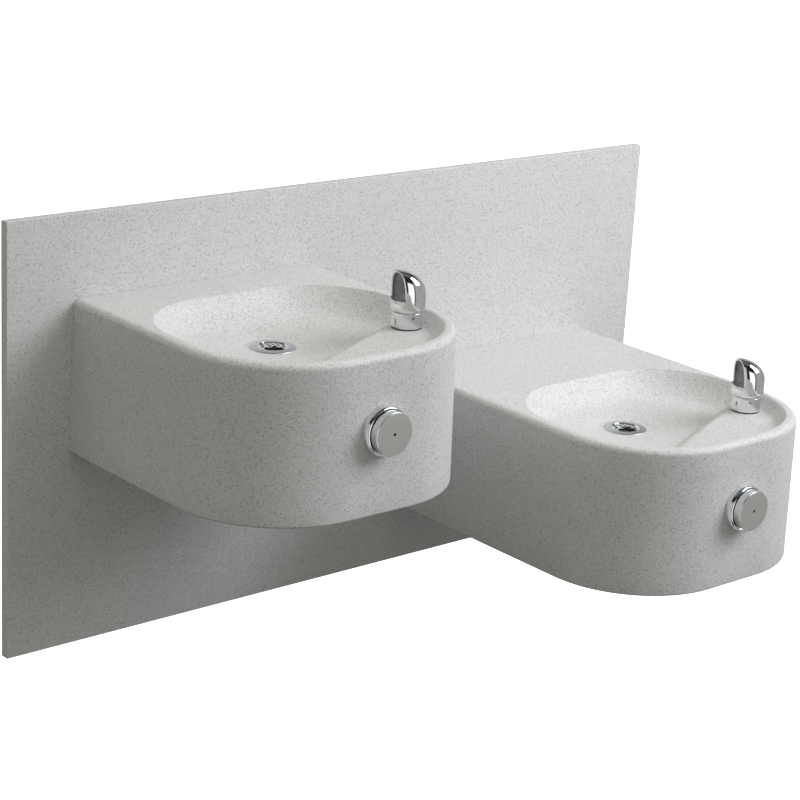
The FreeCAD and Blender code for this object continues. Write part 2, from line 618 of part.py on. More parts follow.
def make_button(basin):
    front = basin.at(0, 0, -D["button_down"])
    label = basin.label
    gap = D["fit_gap"]

    def lathe(piece, profile):
        return node(label(piece), turned(label(piece), profile, front, OUTWARDS))

    cap, face, wall = D["cap_radius"], D["cap_face"], D["cap_wall"]
    under_face, bevel = face - D["cap_face_thick"], D["cap_chamfer"]
    lathe("button_cap", [(D["pinhole"], under_face), (cap - wall, under_face), (cap - wall, D["cap_rim"]),
                         (cap, D["cap_rim"]), (cap, face - bevel), (cap - bevel, face), (D["pinhole"], face)])
    ring, high, inner = D["escutcheon_radius"], D["escutcheon_height"], D["cap_radius"] + D["cap_clear"]
    hole, floor = D["sleeve_radius"] + D["plate_slack"], D["plate_floor"]
    lathe("button_escutcheon", [(hole, 0.0), (ring, 0.0), (ring, high - D["plate_flat"]),
                                (ring - D["plate_bend_in"], high - D["plate_bend_down"]),
                                (ring - D["plate_top_in"], high), (inner, high), (inner, floor),
                                (hole, floor)])
    stem, end = D["stem_radius"], D["stem_end"]
    lathe("button_stem", [(D["stem_bore"], -end), (D["collar_radius"], -end),
                          (D["collar_radius"], -(D["sleeve_end"] + gap)), (stem, -(D["sleeve_end"] + gap)),
                          (stem, under_face), (D["stem_bore"], under_face)])
    sleeve, pocket = D["sleeve_radius"], D["pocket_radius"]
    flange, lip = D["sleeve_flange"], D["flange_end"]
    lathe("valve_sleeve", [(stem + gap, -D["sleeve_end"]), (sleeve, -D["sleeve_end"]), (sleeve, floor),
                           (flange, floor), (flange, lip), (pocket, lip), (pocket, -D["pocket_end"]),
                           (stem + gap, -D["pocket_end"])])
    tip, tip_radius, screw_head = end + D["regulator_past"], D["regulator_tip"], D["regulator_head"]
    screw = turned(label("regulator_blank"), [
        (0.0, -tip), (tip_radius, -tip), (tip_radius, -end), (D["stem_bore"] - gap, -end),
        (D["stem_bore"] - gap, -screw_head), (0.0, -screw_head)], front, OUTWARDS)
    slot = doc.addObject("Part::Box", "driver_slot")
    bind(slot, "Length", D["driver_long"])
    bind(slot, "Width", D["driver_deep"])
    bind(slot, "Height", D["driver_wide"])
    place(slot, (front[0] - D["driver_long"] * 0.5, front[1] + screw_head, front[2] - D["driver_wide"] * 0.5))
    node(label("regulator_screw"), cut(screw, slot))

    seat, disc, stalk = D["seat"], D["poppet_radius"], D["poppet_stem"]
    stop, disc_end = tip + gap, seat + D["poppet_thick"]
    lathe("valve_poppet", [(0.0, -disc_end), (disc, -disc_end), (disc, -(seat + gap)),
                           (stalk, -(seat + gap)), (stalk, -stop), (0.0, -stop)])
    outer, start, back = D["valve_radius"], D["valve_start"], D["valve_end"]
    inlet_room, seat_bore = D["inlet_room"], D["seat_bore"]
    room, room_end = D["room_radius"], D["room_end"]
    shell = turned(label("valve_blank"), [
        (sleeve, -D["sleeve_end"]), (sleeve, -start), (outer, -start), (outer, -back), (inlet_room, -back),
        (inlet_room, -seat), (seat_bore, -seat), (seat_bore, -room_end), (room, -room_end),
        (room, -D["sleeve_end"])], front, OUTWARDS)
    outlet_at = (front[0], front[1] + D["outlet_back"], front[2])
    to_right = about((0, 1, 0), 90)
    outlet = cut(cylinder(D["port_radius"], D["port_length"], outlet_at, to_right),
                 cylinder(sleeve + D["sleeve_slack"], D["tool_long"], front, INWARDS))
    inlet_at = (front[0], front[1] + back, front[2])
    skin = D["skin"]
    inlet = cylinder(D["port_radius"] + D["inlet_grow"], D["inlet_long"], inlet_at, INWARDS)
    outlet_bore = cylinder(D["port_bore"], D["port_length"] + skin, outlet_at, to_right)
    inlet_bore = cylinder(D["port_bore"], D["inlet_long"] + 2.0 * skin,
                          (inlet_at[0], inlet_at[1] - skin, inlet_at[2]), INWARDS)
    node(label("valve_body"), cut(fuse(shell, outlet, inlet), fuse(outlet_bore, inlet_bore)))

    spring = new_body(label("button_spring"))
    profile = new_sketch(spring, "XZ_Plane")
    draw_circle(profile, D["spring_radius"], D["spring_wire"] + gap, D["spring_wire"])
    coil = spring.newObject("PartDesign::AdditiveHelix", "coil")
    coil.Profile = profile
    coil.ReferenceAxis = (profile, ["V_Axis"])
    coil.Mode = "pitch-height-angle"
    bind(coil, "Pitch", D["spring_pitch"])
    bind(coil, "Height", under_face + D["pocket_end"] - 2.0 * D["spring_wire"] - D["coil_slack"])
    place(spring, (front[0], front[1] + D["pocket_end"], front[2]), OUTWARDS)
    node(label("button_spring"), spring)

    nut_at = (front[0], front[1] + D["side_wall"], front[2])
    return hex_nut(D["valve_nut_radius"], sleeve, D["valve_nut_thick"], nut_at, INWARDS)


def slip_nut(name, at, rotation):
    """A nut over a threaded socket, with a lip at its +Z end that closes on the pipe."""
    thread, length, lip = D["thread_radius"], D["slip_thread"], D["slip_lip"]
    hole = D["waste_radius"] + D["slip_slack"]
    return turned(name, [
        (thread, 0.0), (D["slip_radius"], 0.0), (D["slip_radius"], length + lip),
        (hole, length + lip), (hole, length), (thread, length)],
        at, rotation)


def make_waste(basin):
    drain = basin.at(0, D["drain_back"], -D["bowl_deep"])
    label = basin.label

    def lathe(piece, profile):
        return node(label(piece), turned(label(piece), profile, drain))

    thread, end, flange = D["thread_radius"], D["thread_end"], D["flange_radius"]
    plate, dome, throat = D["flange_thick"], D["dome_radius"], D["throat_radius"]
    hub, ring, top, below = D["dome_hub"], D["dome_ring"], D["dome_top"], D["dome_under"]
    blank = turned(label("strainer_blank"), [
        (throat, -end), (thread, -end), (thread, 0.0), (flange, 0.0),
        (flange - D["flange_slope"], D["flange_edge"]), (D["land_radius"], plate), (D["dish_radius"], plate),
        (dome, -D["dome_foot"]), (ring, D["dome_ring_top"]), (hub, D["dome_hub_top"]), (0.0, top),
        (0.0, top - D["dome_skin"]), (hub, -D["dome_hub_under"]), (ring, -D["dome_ring_under"]),
        (dome, -below), (throat, -below)], drain)
    drill, drill_z = 2.0 * D["tool_past"], drain[2] - D["tool_past"]
    holes = [cylinder(D["hub_hole"], drill, (drain[0], drain[1], drill_z))]
    for count, radius in ((6, D["inner_holes"]), (12, D["outer_holes"])):
        for i in range(count):
            angle = 2.0 * math.pi * (i + 0.5) / count
            x, y = radius * math.cos(angle), radius * math.sin(angle)
            holes.append(cylinder(D["strainer_hole"], drill, (drain[0] + x, drain[1] + y, drill_z)))
    node(label("drain_strainer"), cut(blank, fuse(*holes)))

    under = -D["floor_thick"]
    seal, nut_thick = D["seal_thick"], D["drain_nut_thick"]
    seal_radius = D["seal_radius"]
    lathe("drain_gasket", [(thread, under - seal), (seal_radius, under - seal), (seal_radius, under),
                           (thread, under)])
    nut = turned(label("drain_nut"), [
        (thread, under - seal - nut_thick), (D["drain_nut_radius"], under - seal - nut_thick),
        (D["drain_nut_radius"], under - seal), (thread, under - seal)], drain)

    # the tailpiece hangs from a flange in the first slip nut and ends inside the elbow's socket
    pipe, bore, bend = D["waste_radius"], D["waste_bore"], D["bend_radius"]
    socket_depth, lip, lip_foot = D["socket_depth"], D["tail_flange"], -(end + D["tail_thick"])
    bend_top = -(D["arm_down"] - D["bowl_deep"] - bend)
    lathe("drain_tailpiece", [(bore, bend_top), (pipe, bend_top), (pipe, lip_foot), (lip, lip_foot),
                              (lip, -end), (bore, -end)])
    body = new_body(label("waste_elbow"))
    path = new_sketch(body, "YZ_Plane")
    turn_at, reach = bend_top.value, bend.value
    low = turn_at - reach
    corner = Part.Circle(Vector(reach, turn_at, 0), Vector(0, 0, 1), reach)
    deep = socket_depth.value
    path.addGeometry(Part.LineSegment(Vector(0, turn_at + deep, 0), Vector(0, turn_at, 0)), False)
    path.addGeometry(Part.ArcOfCircle(corner, math.pi, 1.5 * math.pi), False)
    path.addGeometry(Part.LineSegment(Vector(reach, low, 0), Vector(reach + deep, low, 0)), False)
    section = new_sketch(body, "XY_Plane", bend_top + socket_depth)
    draw_circle(section, 0.0, 0.0, thread)
    draw_circle(section, 0.0, 0.0, pipe)
    pipe_sweep = body.newObject("PartDesign::AdditivePipe", "sweep")
    pipe_sweep.Profile = section
    pipe_sweep.Spine = path
    place(body, drain)
    node(label("waste_elbow"), body)

    # the arm runs through the panel and ends in a spigot behind a collar
    arm_at = (drain[0], drain[1] + bend, drain[2] - (D["arm_down"] - D["bowl_deep"]))
    wall_at = D["panel_thick"] + basin.depth - D["drain_back"] - bend
    collar = wall_at + D["collar_behind"]
    collar_end = collar + D["collar_thick"]
    node(label("waste_arm"), turned(label("waste_arm"), [
        (bore, 0.0), (pipe, 0.0), (pipe, collar), (thread, collar), (thread, collar_end),
        (pipe, collar_end), (pipe, wall_at + D["waste_out"]), (bore, wall_at + D["waste_out"])],
        arm_at, INWARDS))

    over = D["slip_over"]
    at_strainer = (drain[0], drain[1], drain[2] - (end - over))
    at_inlet = (drain[0], drain[1], drain[2] + bend_top + socket_depth - over)
    at_outlet = (arm_at[0], arm_at[1] + socket_depth - over, arm_at[2])
    slips = [slip_nut(label("slip_top"), at_strainer, about((1, 0, 0), 180)),
             slip_nut(label("slip_in"), at_inlet, UPRIGHT),
             slip_nut(label("slip_out"), at_outlet, INWARDS)]
    return nut, slips


def make_supply(basin):
    label = basin.label
    inlet_y = basin.depth - D["stop_back"]
    valve_at = basin.at(D["supply_across"], inlet_y - D["stop_length"] * 0.5, -D["supply_down"])
    start_at = basin.at(D["supply_across"], inlet_y - D["stop_length"], -D["supply_down"])
    stem, gap = D["stop_stem_radius"], D["fit_gap"]
    boss_end = D["stop_boss_end"]
    barrel = cylinder(D["stop_radius"], D["stop_length"], start_at, INWARDS)
    down = about((1, 0, 0), 180)
    boss = cylinder(D["stop_boss_radius"], boss_end, valve_at, down)
    bore = cylinder(D["port_bore"], D["stop_length"], start_at, INWARDS)
    high = D["stop_room_top"]
    above = (valve_at[0], valve_at[1], valve_at[2] + high)
    stem_bore = cylinder(stem + gap, boss_end + high, above, down)
    node(label("stop_valve_body"), cut(fuse(barrel, boss), fuse(bore, stem_bore)))

    stem_foot, stem_top = boss_end + D["stop_stem_out"], high - 2.0 * gap
    blank = turned(label("stop_blank"), [
        (0.0, -stem_foot), (stem, -stem_foot), (stem, stem_top), (0.0, stem_top)], valve_at)
    way_long, long, wide = D["stop_way_long"], D["stop_slot_long"], D["stop_slot_wide"]
    way_at = (valve_at[0], valve_at[1] - way_long * 0.5, valve_at[2])
    way = cylinder(D["port_bore"] - D["stop_way"], way_long, way_at, INWARDS)
    slot = doc.addObject("Part::Box", "stop_slot")
    bind(slot, "Length", long)
    bind(slot, "Width", wide)
    bind(slot, "Height", D["stop_slot_deep"])
    place(slot, (valve_at[0] - long * 0.5, valve_at[1] - wide * 0.5, valve_at[2] - stem_foot - gap))
    node(label("stop_stem"), cut(blank, fuse(way, slot)))

    tube, bore_radius = D["tube_radius"], D["tube_bore"]
    wall_at = D["panel_thick"] + D["stop_back"]
    collar, lip = wall_at + D["collar_behind"], D["supply_collar"]
    collar_end = collar + D["collar_thick"]
    supply_at = basin.at(D["supply_across"], inlet_y, -D["supply_down"])
    node(label("supply_tube"), turned(label("supply_tube"), [
        (bore_radius, 0.0), (tube, 0.0), (tube, collar), (lip, collar), (lip, collar_end),
        (tube, collar_end), (tube, wall_at + D["supply_out"]), (bore_radius, wall_at + D["supply_out"])],
        supply_at, INWARDS))

    down_z = -D["button_down"]
    feed = [(0.0, D["valve_end"] + D["feed_past"], down_z), (0.0, D["feed_drop"], down_z),
            (D["supply_across"], D["feed_rise"], -D["supply_down"]),
            (D["supply_across"], inlet_y - D["stop_length"], -D["supply_down"])]
    bent_tube(label("feed_tube"), feed, D["bend_small"], basin.at())
    foot = -(D["ledge_deep"] + D["shank_foot"])
    across, back = D["bubbler_across"], D["bubbler_back"]
    rise = [(D["port_length"], D["outlet_back"], down_z), (D["rise_across"], D["outlet_back"], down_z),
            (across, back, down_z), (across, back, foot)]
    bent_tube(label("bubbler_tube"), rise, D["bend_small"], basin.at())


def make_fasteners():
    studs, washers, nuts, screws = [], [], [], []
    for basin in BASINS:
        inside = basin.depth - D["rear_wall"]
        washer, nut = D["washer_thick"], D["stud_nut_thick"]
        # a stud is full size in the wall, thinner across the panel and threaded at the nut
        past_nut, full, neck = D["stud_end"], D["stud_radius"], D["stud_neck"]
        thread = D["stud_inner"]
        neck_start = washer + nut + past_nut + D["rear_wall"]
        neck_end = neck_start + D["panel_thick"]
        stud_end = neck_end + D["stud_out"]
        for x, z in stud_places(basin):
            stud_at = basin.at(x, inside - washer - nut - past_nut, z)
            studs.append(turned("stud", [
                (0.0, 0.0), (thread, 0.0), (thread, neck_start), (neck, neck_start), (neck, neck_end),
                (full, neck_end), (full, stud_end), (0.0, stud_end)], stud_at, INWARDS))
            ring_at = basin.at(x, inside - washer, z)
            washers.append(cut(cylinder(D["washer_radius"], washer, ring_at, INWARDS),
                               cylinder(thread, washer, ring_at, INWARDS)))
            nut_at = basin.at(x, inside - washer - nut, z)
            nuts.append(hex_nut(D["stud_nut_radius"], thread, nut, nut_at, INWARDS))
        foot = -D["basin_height"] + D["cover_recess"]
        for x, y in cover_screw_places(basin):
            head_at = basin.at(x, y, foot - D["screw_head_thick"])
            head = cylinder(D["screw_head_radius"], D["screw_head_thick"], head_at)
            shank = cylinder(D["screw_radius"], D["screw_length"], basin.at(x, y, foot))
            screws.append(fuse(head, shank))
    group("mounting_studs", studs)
    group("mounting_washers", washers)
    group("mounting_nuts", nuts)
    group("cover_screws", screws)


make_panel()
grubs, bubbler_nuts, valve_nuts, drain_nuts, slips = [], [], [], [], []
for basin in BASINS:
    make_shell(basin)
    make_cover(basin)
    grub, nut = make_bubbler(basin)
    grubs.append(grub)
    bubbler_nuts.append(nut)
    valve_nuts.append(make_button(basin))
    drain_nut, slip_set = make_waste(basin)
    drain_nuts.append(drain_nut)
    slips += slip_set
    make_supply(basin)
make_fasteners()
group("grub_screws", grubs)
group("bubbler_locknuts", bubbler_nuts)
group("valve_locknuts", valve_nuts)
group("drain_locknuts", drain_nuts)
group("slip_nuts", slips)
doc.recompute()

faults = [f"{o.Name} ({o.Label}): {o.State}" for o in doc.Objects if {"Invalid", "Error"} & set(o.State)]
for name, obj in nodes.items():
    if obj.Shape.isNull() or not obj.Shape.isValid() or obj.Shape.Volume <= 0:
        faults.append(f"{name}: bad shape")
if faults:
    raise SystemExit("\n".join(faults))

os.makedirs("parts", exist_ok=True)
for name, obj in nodes.items():
    obj.Shape.exportStep(f"parts/{name}.step")
print(f"{len(nodes)} nodes written")
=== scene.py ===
import math

import bmesh
import bpy
from mathutils import Matrix, Vector


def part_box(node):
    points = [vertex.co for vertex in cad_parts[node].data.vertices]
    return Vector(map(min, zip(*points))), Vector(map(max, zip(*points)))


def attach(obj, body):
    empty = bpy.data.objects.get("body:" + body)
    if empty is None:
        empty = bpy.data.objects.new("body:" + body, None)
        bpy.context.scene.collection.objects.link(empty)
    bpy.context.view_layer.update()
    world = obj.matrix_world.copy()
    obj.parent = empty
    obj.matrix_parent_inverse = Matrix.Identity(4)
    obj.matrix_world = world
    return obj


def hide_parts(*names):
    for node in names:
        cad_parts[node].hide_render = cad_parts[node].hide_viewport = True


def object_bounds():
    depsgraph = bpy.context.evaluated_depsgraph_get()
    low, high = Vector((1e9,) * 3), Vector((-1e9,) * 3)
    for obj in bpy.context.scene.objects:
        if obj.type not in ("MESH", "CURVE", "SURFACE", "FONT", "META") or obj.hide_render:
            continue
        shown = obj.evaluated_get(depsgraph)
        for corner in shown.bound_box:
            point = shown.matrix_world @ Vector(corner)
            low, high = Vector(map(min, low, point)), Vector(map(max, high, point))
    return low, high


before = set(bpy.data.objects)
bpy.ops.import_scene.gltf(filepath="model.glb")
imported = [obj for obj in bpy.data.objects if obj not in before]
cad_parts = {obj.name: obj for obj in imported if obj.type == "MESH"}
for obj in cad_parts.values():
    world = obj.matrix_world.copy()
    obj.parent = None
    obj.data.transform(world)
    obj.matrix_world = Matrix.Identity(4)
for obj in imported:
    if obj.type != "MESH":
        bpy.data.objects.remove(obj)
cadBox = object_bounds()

basinNames = ("high", "low")
print("frame loaded:", len(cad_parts), "nodes")


# Node trees, for shaders and for geometry

class Wire:  # a socket: Python's operators on it add Math nodes
    def __init__(self, tree, socket):
        self.tree, self.socket = tree, socket

    def maths(self, operation, *values):
        return self.tree.node("ShaderNodeMath", {"operation": operation}, dict(enumerate(values)))

    def other(self, name):  # another output of the same node
        return Wire(self.tree, self.tree.find(self.socket.node.outputs, name))

    def __add__(self, value):
        return self.maths("ADD", self, value)

    def __radd__(self, value):
        return self.maths("ADD", value, self)

    def __sub__(self, value):
        return self.maths("SUBTRACT", self, value)

    def __rsub__(self, value):
        return self.maths("SUBTRACT", value, self)

    def __mul__(self, value):
        return self.maths("MULTIPLY", self, value)

    def __rmul__(self, value):
        return self.maths("MULTIPLY", value, self)

    def __truediv__(self, value):
        return self.maths("DIVIDE", self, value)

    def __lt__(self, value):
        return self.maths("LESS_THAN", self, value)

    def __gt__(self, value):
        return self.maths("GREATER_THAN", self, value)


class Tree:
    def __init__(self, nodeTree):
        self.nodeTree = nodeTree

    def find(self, sockets, key):
        if isinstance(key, int):
            return sockets[key]
        named = [s for s in sockets if s.identifier == key] or [s for s in sockets if s.name == key]
        return named[0]

    def node(self, kind, settings=None, sockets=None, out=0):
        made = self.nodeTree.nodes.new(kind)
        for key, value in (settings or {}).items():
            if key == "stops":
                while len(made.color_ramp.elements) < len(value):
                    made.color_ramp.elements.new(1.0)
                for element, (position, colour) in zip(made.color_ramp.elements, value):
                    element.position, element.color = position, colour
            else:
                setattr(made, key, value)
        for key, value in (sockets or {}).items():
            socket = self.find(made.inputs, key)
            for one in value if isinstance(value, list) else [value]:
                if isinstance(one, Wire):
                    self.nodeTree.links.new(one.socket, socket)
                else:
                    socket.default_value = one
        return Wire(self, self.find(made.outputs, out)) if len(made.outputs) else made

    def blend(self, factor, first, second):  # of two colours
        return self.node("ShaderNodeMix", {"data_type": "RGBA"},
                         {"Factor_Float": factor, "A_Color": first, "B_Color": second}, "Result_Color")

    def step(self, value, low, high, start=0.0, end=1.0):  # a soft step from start to end
        return self.node("ShaderNodeMapRange", {"interpolation_type": "SMOOTHSTEP"},
                         {"Value": value, "From Min": low, "From Max": high, "To Min": start, "To Max": end})

    def noise(self, where, scale, detail=2.0, roughness=0.5):
        return self.node("ShaderNodeTexNoise", None,
                         {"Vector": where, "Scale": scale, "Detail": detail, "Roughness": roughness})

    def bump(self, height, strength, distance):
        return self.node("ShaderNodeBump", None,
                         {"Height": height, "Strength": strength, "Distance": distance})


def grey(value, warm=0.0):
    return (value * (1 + warm), value, value * (1 - warm), 1.0)


def newMaterial(name):
    material = bpy.data.materials.new(name)
    material.use_nodes = True
    material.node_tree.nodes.clear()
    return material, Tree(material.node_tree)


def surface(tree, sockets):
    shader = tree.node("ShaderNodeBsdfPrincipled", None, sockets)
    tree.node("ShaderNodeOutputMaterial", None, {"Surface": shader})


# Finishes

resinSizes = {"grain": 0.0015, "fineGrain": 0.0009, "paleGrain": 0.0012, "mottle": 0.03}


def makeCastResin():
    material, tree = newMaterial("castResin")
    where = tree.node("ShaderNodeTexCoord", out="Object")
    aslant = tree.node("ShaderNodeVectorRotate", {"rotation_type": "EULER_XYZ"},
                       {"Vector": where, "Rotation": (0.61, 0.43, 0.87)})

    def grains(cell, radius, share, offset):  # soft dots of mixed sizes in that share of the cells
        moved = tree.node("ShaderNodeVectorMath", {"operation": "ADD"}, {0: aslant, 1: (offset, offset, offset)})
        cells = tree.node("ShaderNodeTexVoronoi", None, {"Vector": moved, "Scale": 1 / cell})
        colour = tree.node("ShaderNodeSeparateColor", None, {"Color": cells.other("Color")})
        dot = tree.step(cells + 0.22 * colour.other("Green"), radius * 0.75, radius, 1.0, 0.0)
        return dot * (colour < share)

    dark = grains(resinSizes["grain"], 0.62, 0.20, 0.0131)
    fine = grains(resinSizes["fineGrain"], 0.66, 0.34, 0.0377)
    pale = grains(resinSizes["paleGrain"], 0.66, 0.26, 0.0713)
    mottle = tree.noise(where, 1 / resinSizes["mottle"], 3.0)
    base = tree.blend(mottle, grey(0.64, 0.004), grey(0.70, 0.004))
    base = tree.blend(pale * 0.45, base, grey(0.90))
    base = tree.blend(fine * 0.40, base, grey(0.26, 0.02))
    base = tree.blend(dark * 0.62, base, grey(0.16, 0.03))
    skin = tree.noise(where, 900.0, 2.0)
    ripple = tree.noise(where, 45.0, 2.0)
    height = skin * 0.25 + ripple * 0.6 + pale * 0.2 - dark * 0.3
    surface(tree, {
        "Base Color": base, "Roughness": 0.42 + 0.14 * mottle + 0.08 * dark, "Specular IOR Level": 0.35,
        "Normal": tree.bump(height, 0.22, 0.0004),
    })
    return material


def makeMetal(name, colour, roughness, smudge, scale, brushed=0.0, stretch=(1.0, 1.0, 1.0)):
    # smudge is how much the roughness varies, brushed how deep the scratches are
    material, tree = newMaterial(name)
    where = tree.node("ShaderNodeTexCoord", out="Object")
    cloud = tree.noise(where, scale, 3.0, 0.6)
    lines = tree.noise(tree.node("ShaderNodeMapping", None, {"Vector": where, "Scale": stretch}), 700.0, 2.0)
    dull = tuple(0.82 * c for c in colour)
    surface(tree, {
        "Base Color": tree.blend(tree.step(cloud, 0.35, 0.75), (*colour, 1.0), (*dull, 1.0)),
        "Metallic": 1.0, "Roughness": roughness + smudge * cloud,
        "Normal": tree.bump(lines, brushed, 0.0001),
    })
    return material


def makeTurnedFace():  # satin metal with the fine rings that a lathe leaves
    material, tree = newMaterial("satinFace")
    place = tree.node("ShaderNodeAttribute", {"attribute_name": "turnedPlace"}, out="Vector")
    flat = tree.node("ShaderNodeVectorMath", {"operation": "MULTIPLY"}, {0: place, 1: (1.0, 1.0, 0.0)})
    radius = tree.node("ShaderNodeVectorMath", {"operation": "LENGTH"}, {0: flat}, "Value")
    rings = tree.node("ShaderNodeTexNoise", {"noise_dimensions": "1D"}, {"W": radius, "Scale": 4200.0, "Detail": 2.0})
    cloud = tree.noise(place, 60.0, 2.0)
    surface(tree, {
        "Base Color": tree.blend(cloud, (0.69, 0.70, 0.66, 1.0), (0.64, 0.65, 0.61, 1.0)), "Metallic": 1.0,
        "Roughness": 0.30 + 0.08 * rings + 0.05 * cloud, "Normal": tree.bump(rings, 0.10, 0.00005),
    })
    return material


def makeStrainerSteel():  # a dull flange round a polished dome
    material, tree = newMaterial("strainerSteel")
    place = tree.node("ShaderNodeAttribute", {"attribute_name": "turnedPlace"}, out="Vector")
    flat = tree.node("ShaderNodeVectorMath", {"operation": "MULTIPLY"}, {0: place, 1: (1.0, 1.0, 0.0)})
    radius = tree.node("ShaderNodeVectorMath", {"operation": "LENGTH"}, {0: flat}, "Value")
    rim = tree.step(radius, 0.0178, 0.0195)
    rings = tree.node("ShaderNodeTexNoise", {"noise_dimensions": "1D"}, {"W": radius, "Scale": 3000.0})
    cloud = tree.noise(place, 90.0, 2.0)
    surface(tree, {
        "Base Color": tree.blend(rim, grey(0.85), grey(0.80, -0.025)), "Metallic": 1.0,
        "Roughness": 0.10 + 0.30 * rim + 0.06 * cloud, "Normal": tree.bump(rings * rim, 0.08, 0.00005),
    })
    return material


def makeRubber():
    material, tree = newMaterial("blackRubber")
    where = tree.node("ShaderNodeTexCoord", out="Object")
    cloud = tree.noise(where, 300.0, 3.0)
    surface(tree, {"Base Color": tree.blend(cloud, grey(0.018), grey(0.035)), "Roughness": 0.62 + 0.2 * cloud,
                   "Normal": tree.bump(cloud, 0.2, 0.0002)})
    return material


finishes = {
    "cast_resin": makeCastResin(),
    "chrome": makeMetal("chrome", (0.86, 0.87, 0.88), 0.035, 0.05, 60.0),
    # the hood's inside: rougher than the chrome, and paler than it as painted fill light for the shaded hollow
    "dull_chrome": makeMetal("dullChrome", (0.93, 0.94, 0.93), 0.34, 0.06, 80.0),
    "satin_chrome": makeTurnedFace(),
    "strainer_steel": makeStrainerSteel(),
    "cover_steel": makeMetal("coverSteel", (0.56, 0.56, 0.57), 0.30, 0.14, 25.0, 0.35, (0.03, 1.0, 1.0)),
    "fastener_steel": makeMetal("fastenerSteel", (0.55, 0.55, 0.53), 0.24, 0.20, 120.0, 0.1),
    "brass": makeMetal("brass", (0.72, 0.52, 0.25), 0.22, 0.22, 80.0, 0.1),
    "copper": makeMetal("copper", (0.74, 0.37, 0.22), 0.20, 0.25, 50.0, 0.1),
    "black_rubber": makeRubber(),
}
print("finishes made:", len(finishes))


# Meshes

class Skin:  # a mesh gathered from rows of points and welded where they meet
    def __init__(self):
        self.points, self.faces = [], []

    def rows(self, rows, around=False, over=False):
        # around joins each row's ends, over joins the last row to the first
        start, wide, tall = len(self.points), len(rows[0]), len(rows)
        for row in rows:
            self.points += row
        for i in range(tall if over else tall - 1):
            for j in range(wide if around else wide - 1):
                k, m = (i + 1) % tall, (j + 1) % wide
                self.faces.append((start + i * wide + j, start + i * wide + m,
                                   start + k * wide + m, start + k * wide + j))

    def piece(self, name, matrix=None, sharp=32.0):
        mesh = bpy.data.meshes.new(name)
        mesh.from_pydata(self.points, [], self.faces)
        shape = bmesh.new()
        shape.from_mesh(mesh)
        bmesh.ops.remove_doubles(shape, verts=shape.verts, dist=1e-6)
        bmesh.ops.dissolve_degenerate(shape, edges=shape.edges, dist=1e-7)
        loose = [edge for edge in shape.edges if not edge.link_faces]
        bmesh.ops.delete(shape, geom=loose, context="EDGES")
        bmesh.ops.recalc_face_normals(shape, faces=shape.faces)
        if matrix:
            shape.transform(matrix)
        shape.to_mesh(mesh)
        shape.free()
        made = bpy.data.objects.new(name, mesh)
        bpy.context.scene.collection.objects.link(made)
        smooth(made, sharp)
        return made


def smooth(piece, sharp=32.0):
    piece.data.shade_smooth()
    piece.data.set_sharp_from_angle(angle=math.radians(sharp))


def applied(piece):  # the piece's modifiers become its mesh
    graph = bpy.context.evaluated_depsgraph_get()
    mesh = bpy.data.meshes.new_from_object(piece.evaluated_get(graph))
    piece.modifiers.clear()
    old, piece.data = piece.data, mesh
    mesh.name = piece.name
    bpy.data.meshes.remove(old)


def joinSolid(piece, other, operation):  # UNION or DIFFERENCE, after which the other is gone
    modifier = piece.modifiers.new("join", "BOOLEAN")
    modifier.operation, modifier.solver, modifier.object = operation, "MANIFOLD", other
    applied(piece)
    bpy.data.objects.remove(other)
    smooth(piece)


def rods(name, places, steps=48):  # plain rods in one mesh: each is start, end and radius
    skin = Skin()
    for start, end, radius in places:
        start, end = Vector(start), Vector(end)
        turn = (end - start).to_track_quat("Z", "Y")
        circle = [turn @ Vector((radius * math.cos(a), radius * math.sin(a), 0))
                  for a in (2 * math.pi * i / steps for i in range(steps))]
        skin.rows([[start] * steps, [start + p for p in circle], [end + p for p in circle], [end] * steps],
                  around=True)
    return skin.piece(name)


def softened(corners, closed=True):
    # an outline whose corners are (radius, height, rounding), with an arc at each rounded one
    line, count = [], len(corners)
    for i, (x, y, rounding) in enumerate(corners):
        here = Vector((x, y))
        last = not closed and i in (0, count - 1)
        if last or rounding == 0:
            line.append(here)
            continue
        before = Vector(corners[i - 1][:2]) - here
        after = Vector(corners[(i + 1) % count][:2]) - here
        angle = before.angle(after)
        reach = min(rounding / math.tan(angle / 2), 0.49 * before.length, 0.49 * after.length)
        radius = reach * math.tan(angle / 2)
        middle = here + (before.normalized() + after.normalized()).normalized() * radius / math.sin(angle / 2)
        first = here + before.normalized() * reach - middle
        steps = max(3, round(math.degrees(math.pi - angle) / 10))
        side = 1 if before.x * after.y - before.y * after.x < 0 else -1
        for k in range(steps + 1):
            turn = Matrix.Rotation(side * (math.pi - angle) * k / steps, 2)
            line.append(middle + turn @ first)
    return line


def turned(name, corners, matrix, steps=128, closed=True, sharp=32.0):
    skin = Skin()
    circle = [(math.cos(2 * math.pi * i / steps), math.sin(2 * math.pi * i / steps)) for i in range(steps)]
    line = softened(corners, closed)
    skin.rows([[Vector((p.x * c, p.x * s, p.y)) for c, s in circle] for p in line], around=True, over=closed)
    return skin.piece(name, matrix, sharp)


def dress(piece, finish, body="fountain", nodes=(), matrix=None):
    # gives a finished piece its material, its body and the CAD nodes that it stands for
    if matrix:
        back = matrix.inverted()
        spot = piece.data.attributes.new("turnedPlace", "FLOAT_VECTOR", "POINT")
        spot.data.foreach_set("vector", [c for v in piece.data.vertices for c in back @ v.co])
    if finish:
        piece.data.materials.clear()
        piece.data.materials.append(finishes[finish])
    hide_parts(*nodes)
    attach(piece, body)


def middleOf(node):
    low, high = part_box(node)
    return (low + high) / 2


outwards = Matrix.Rotation(math.pi / 2, 4, "X")  # local +Z towards the person who drinks


# Basin shells

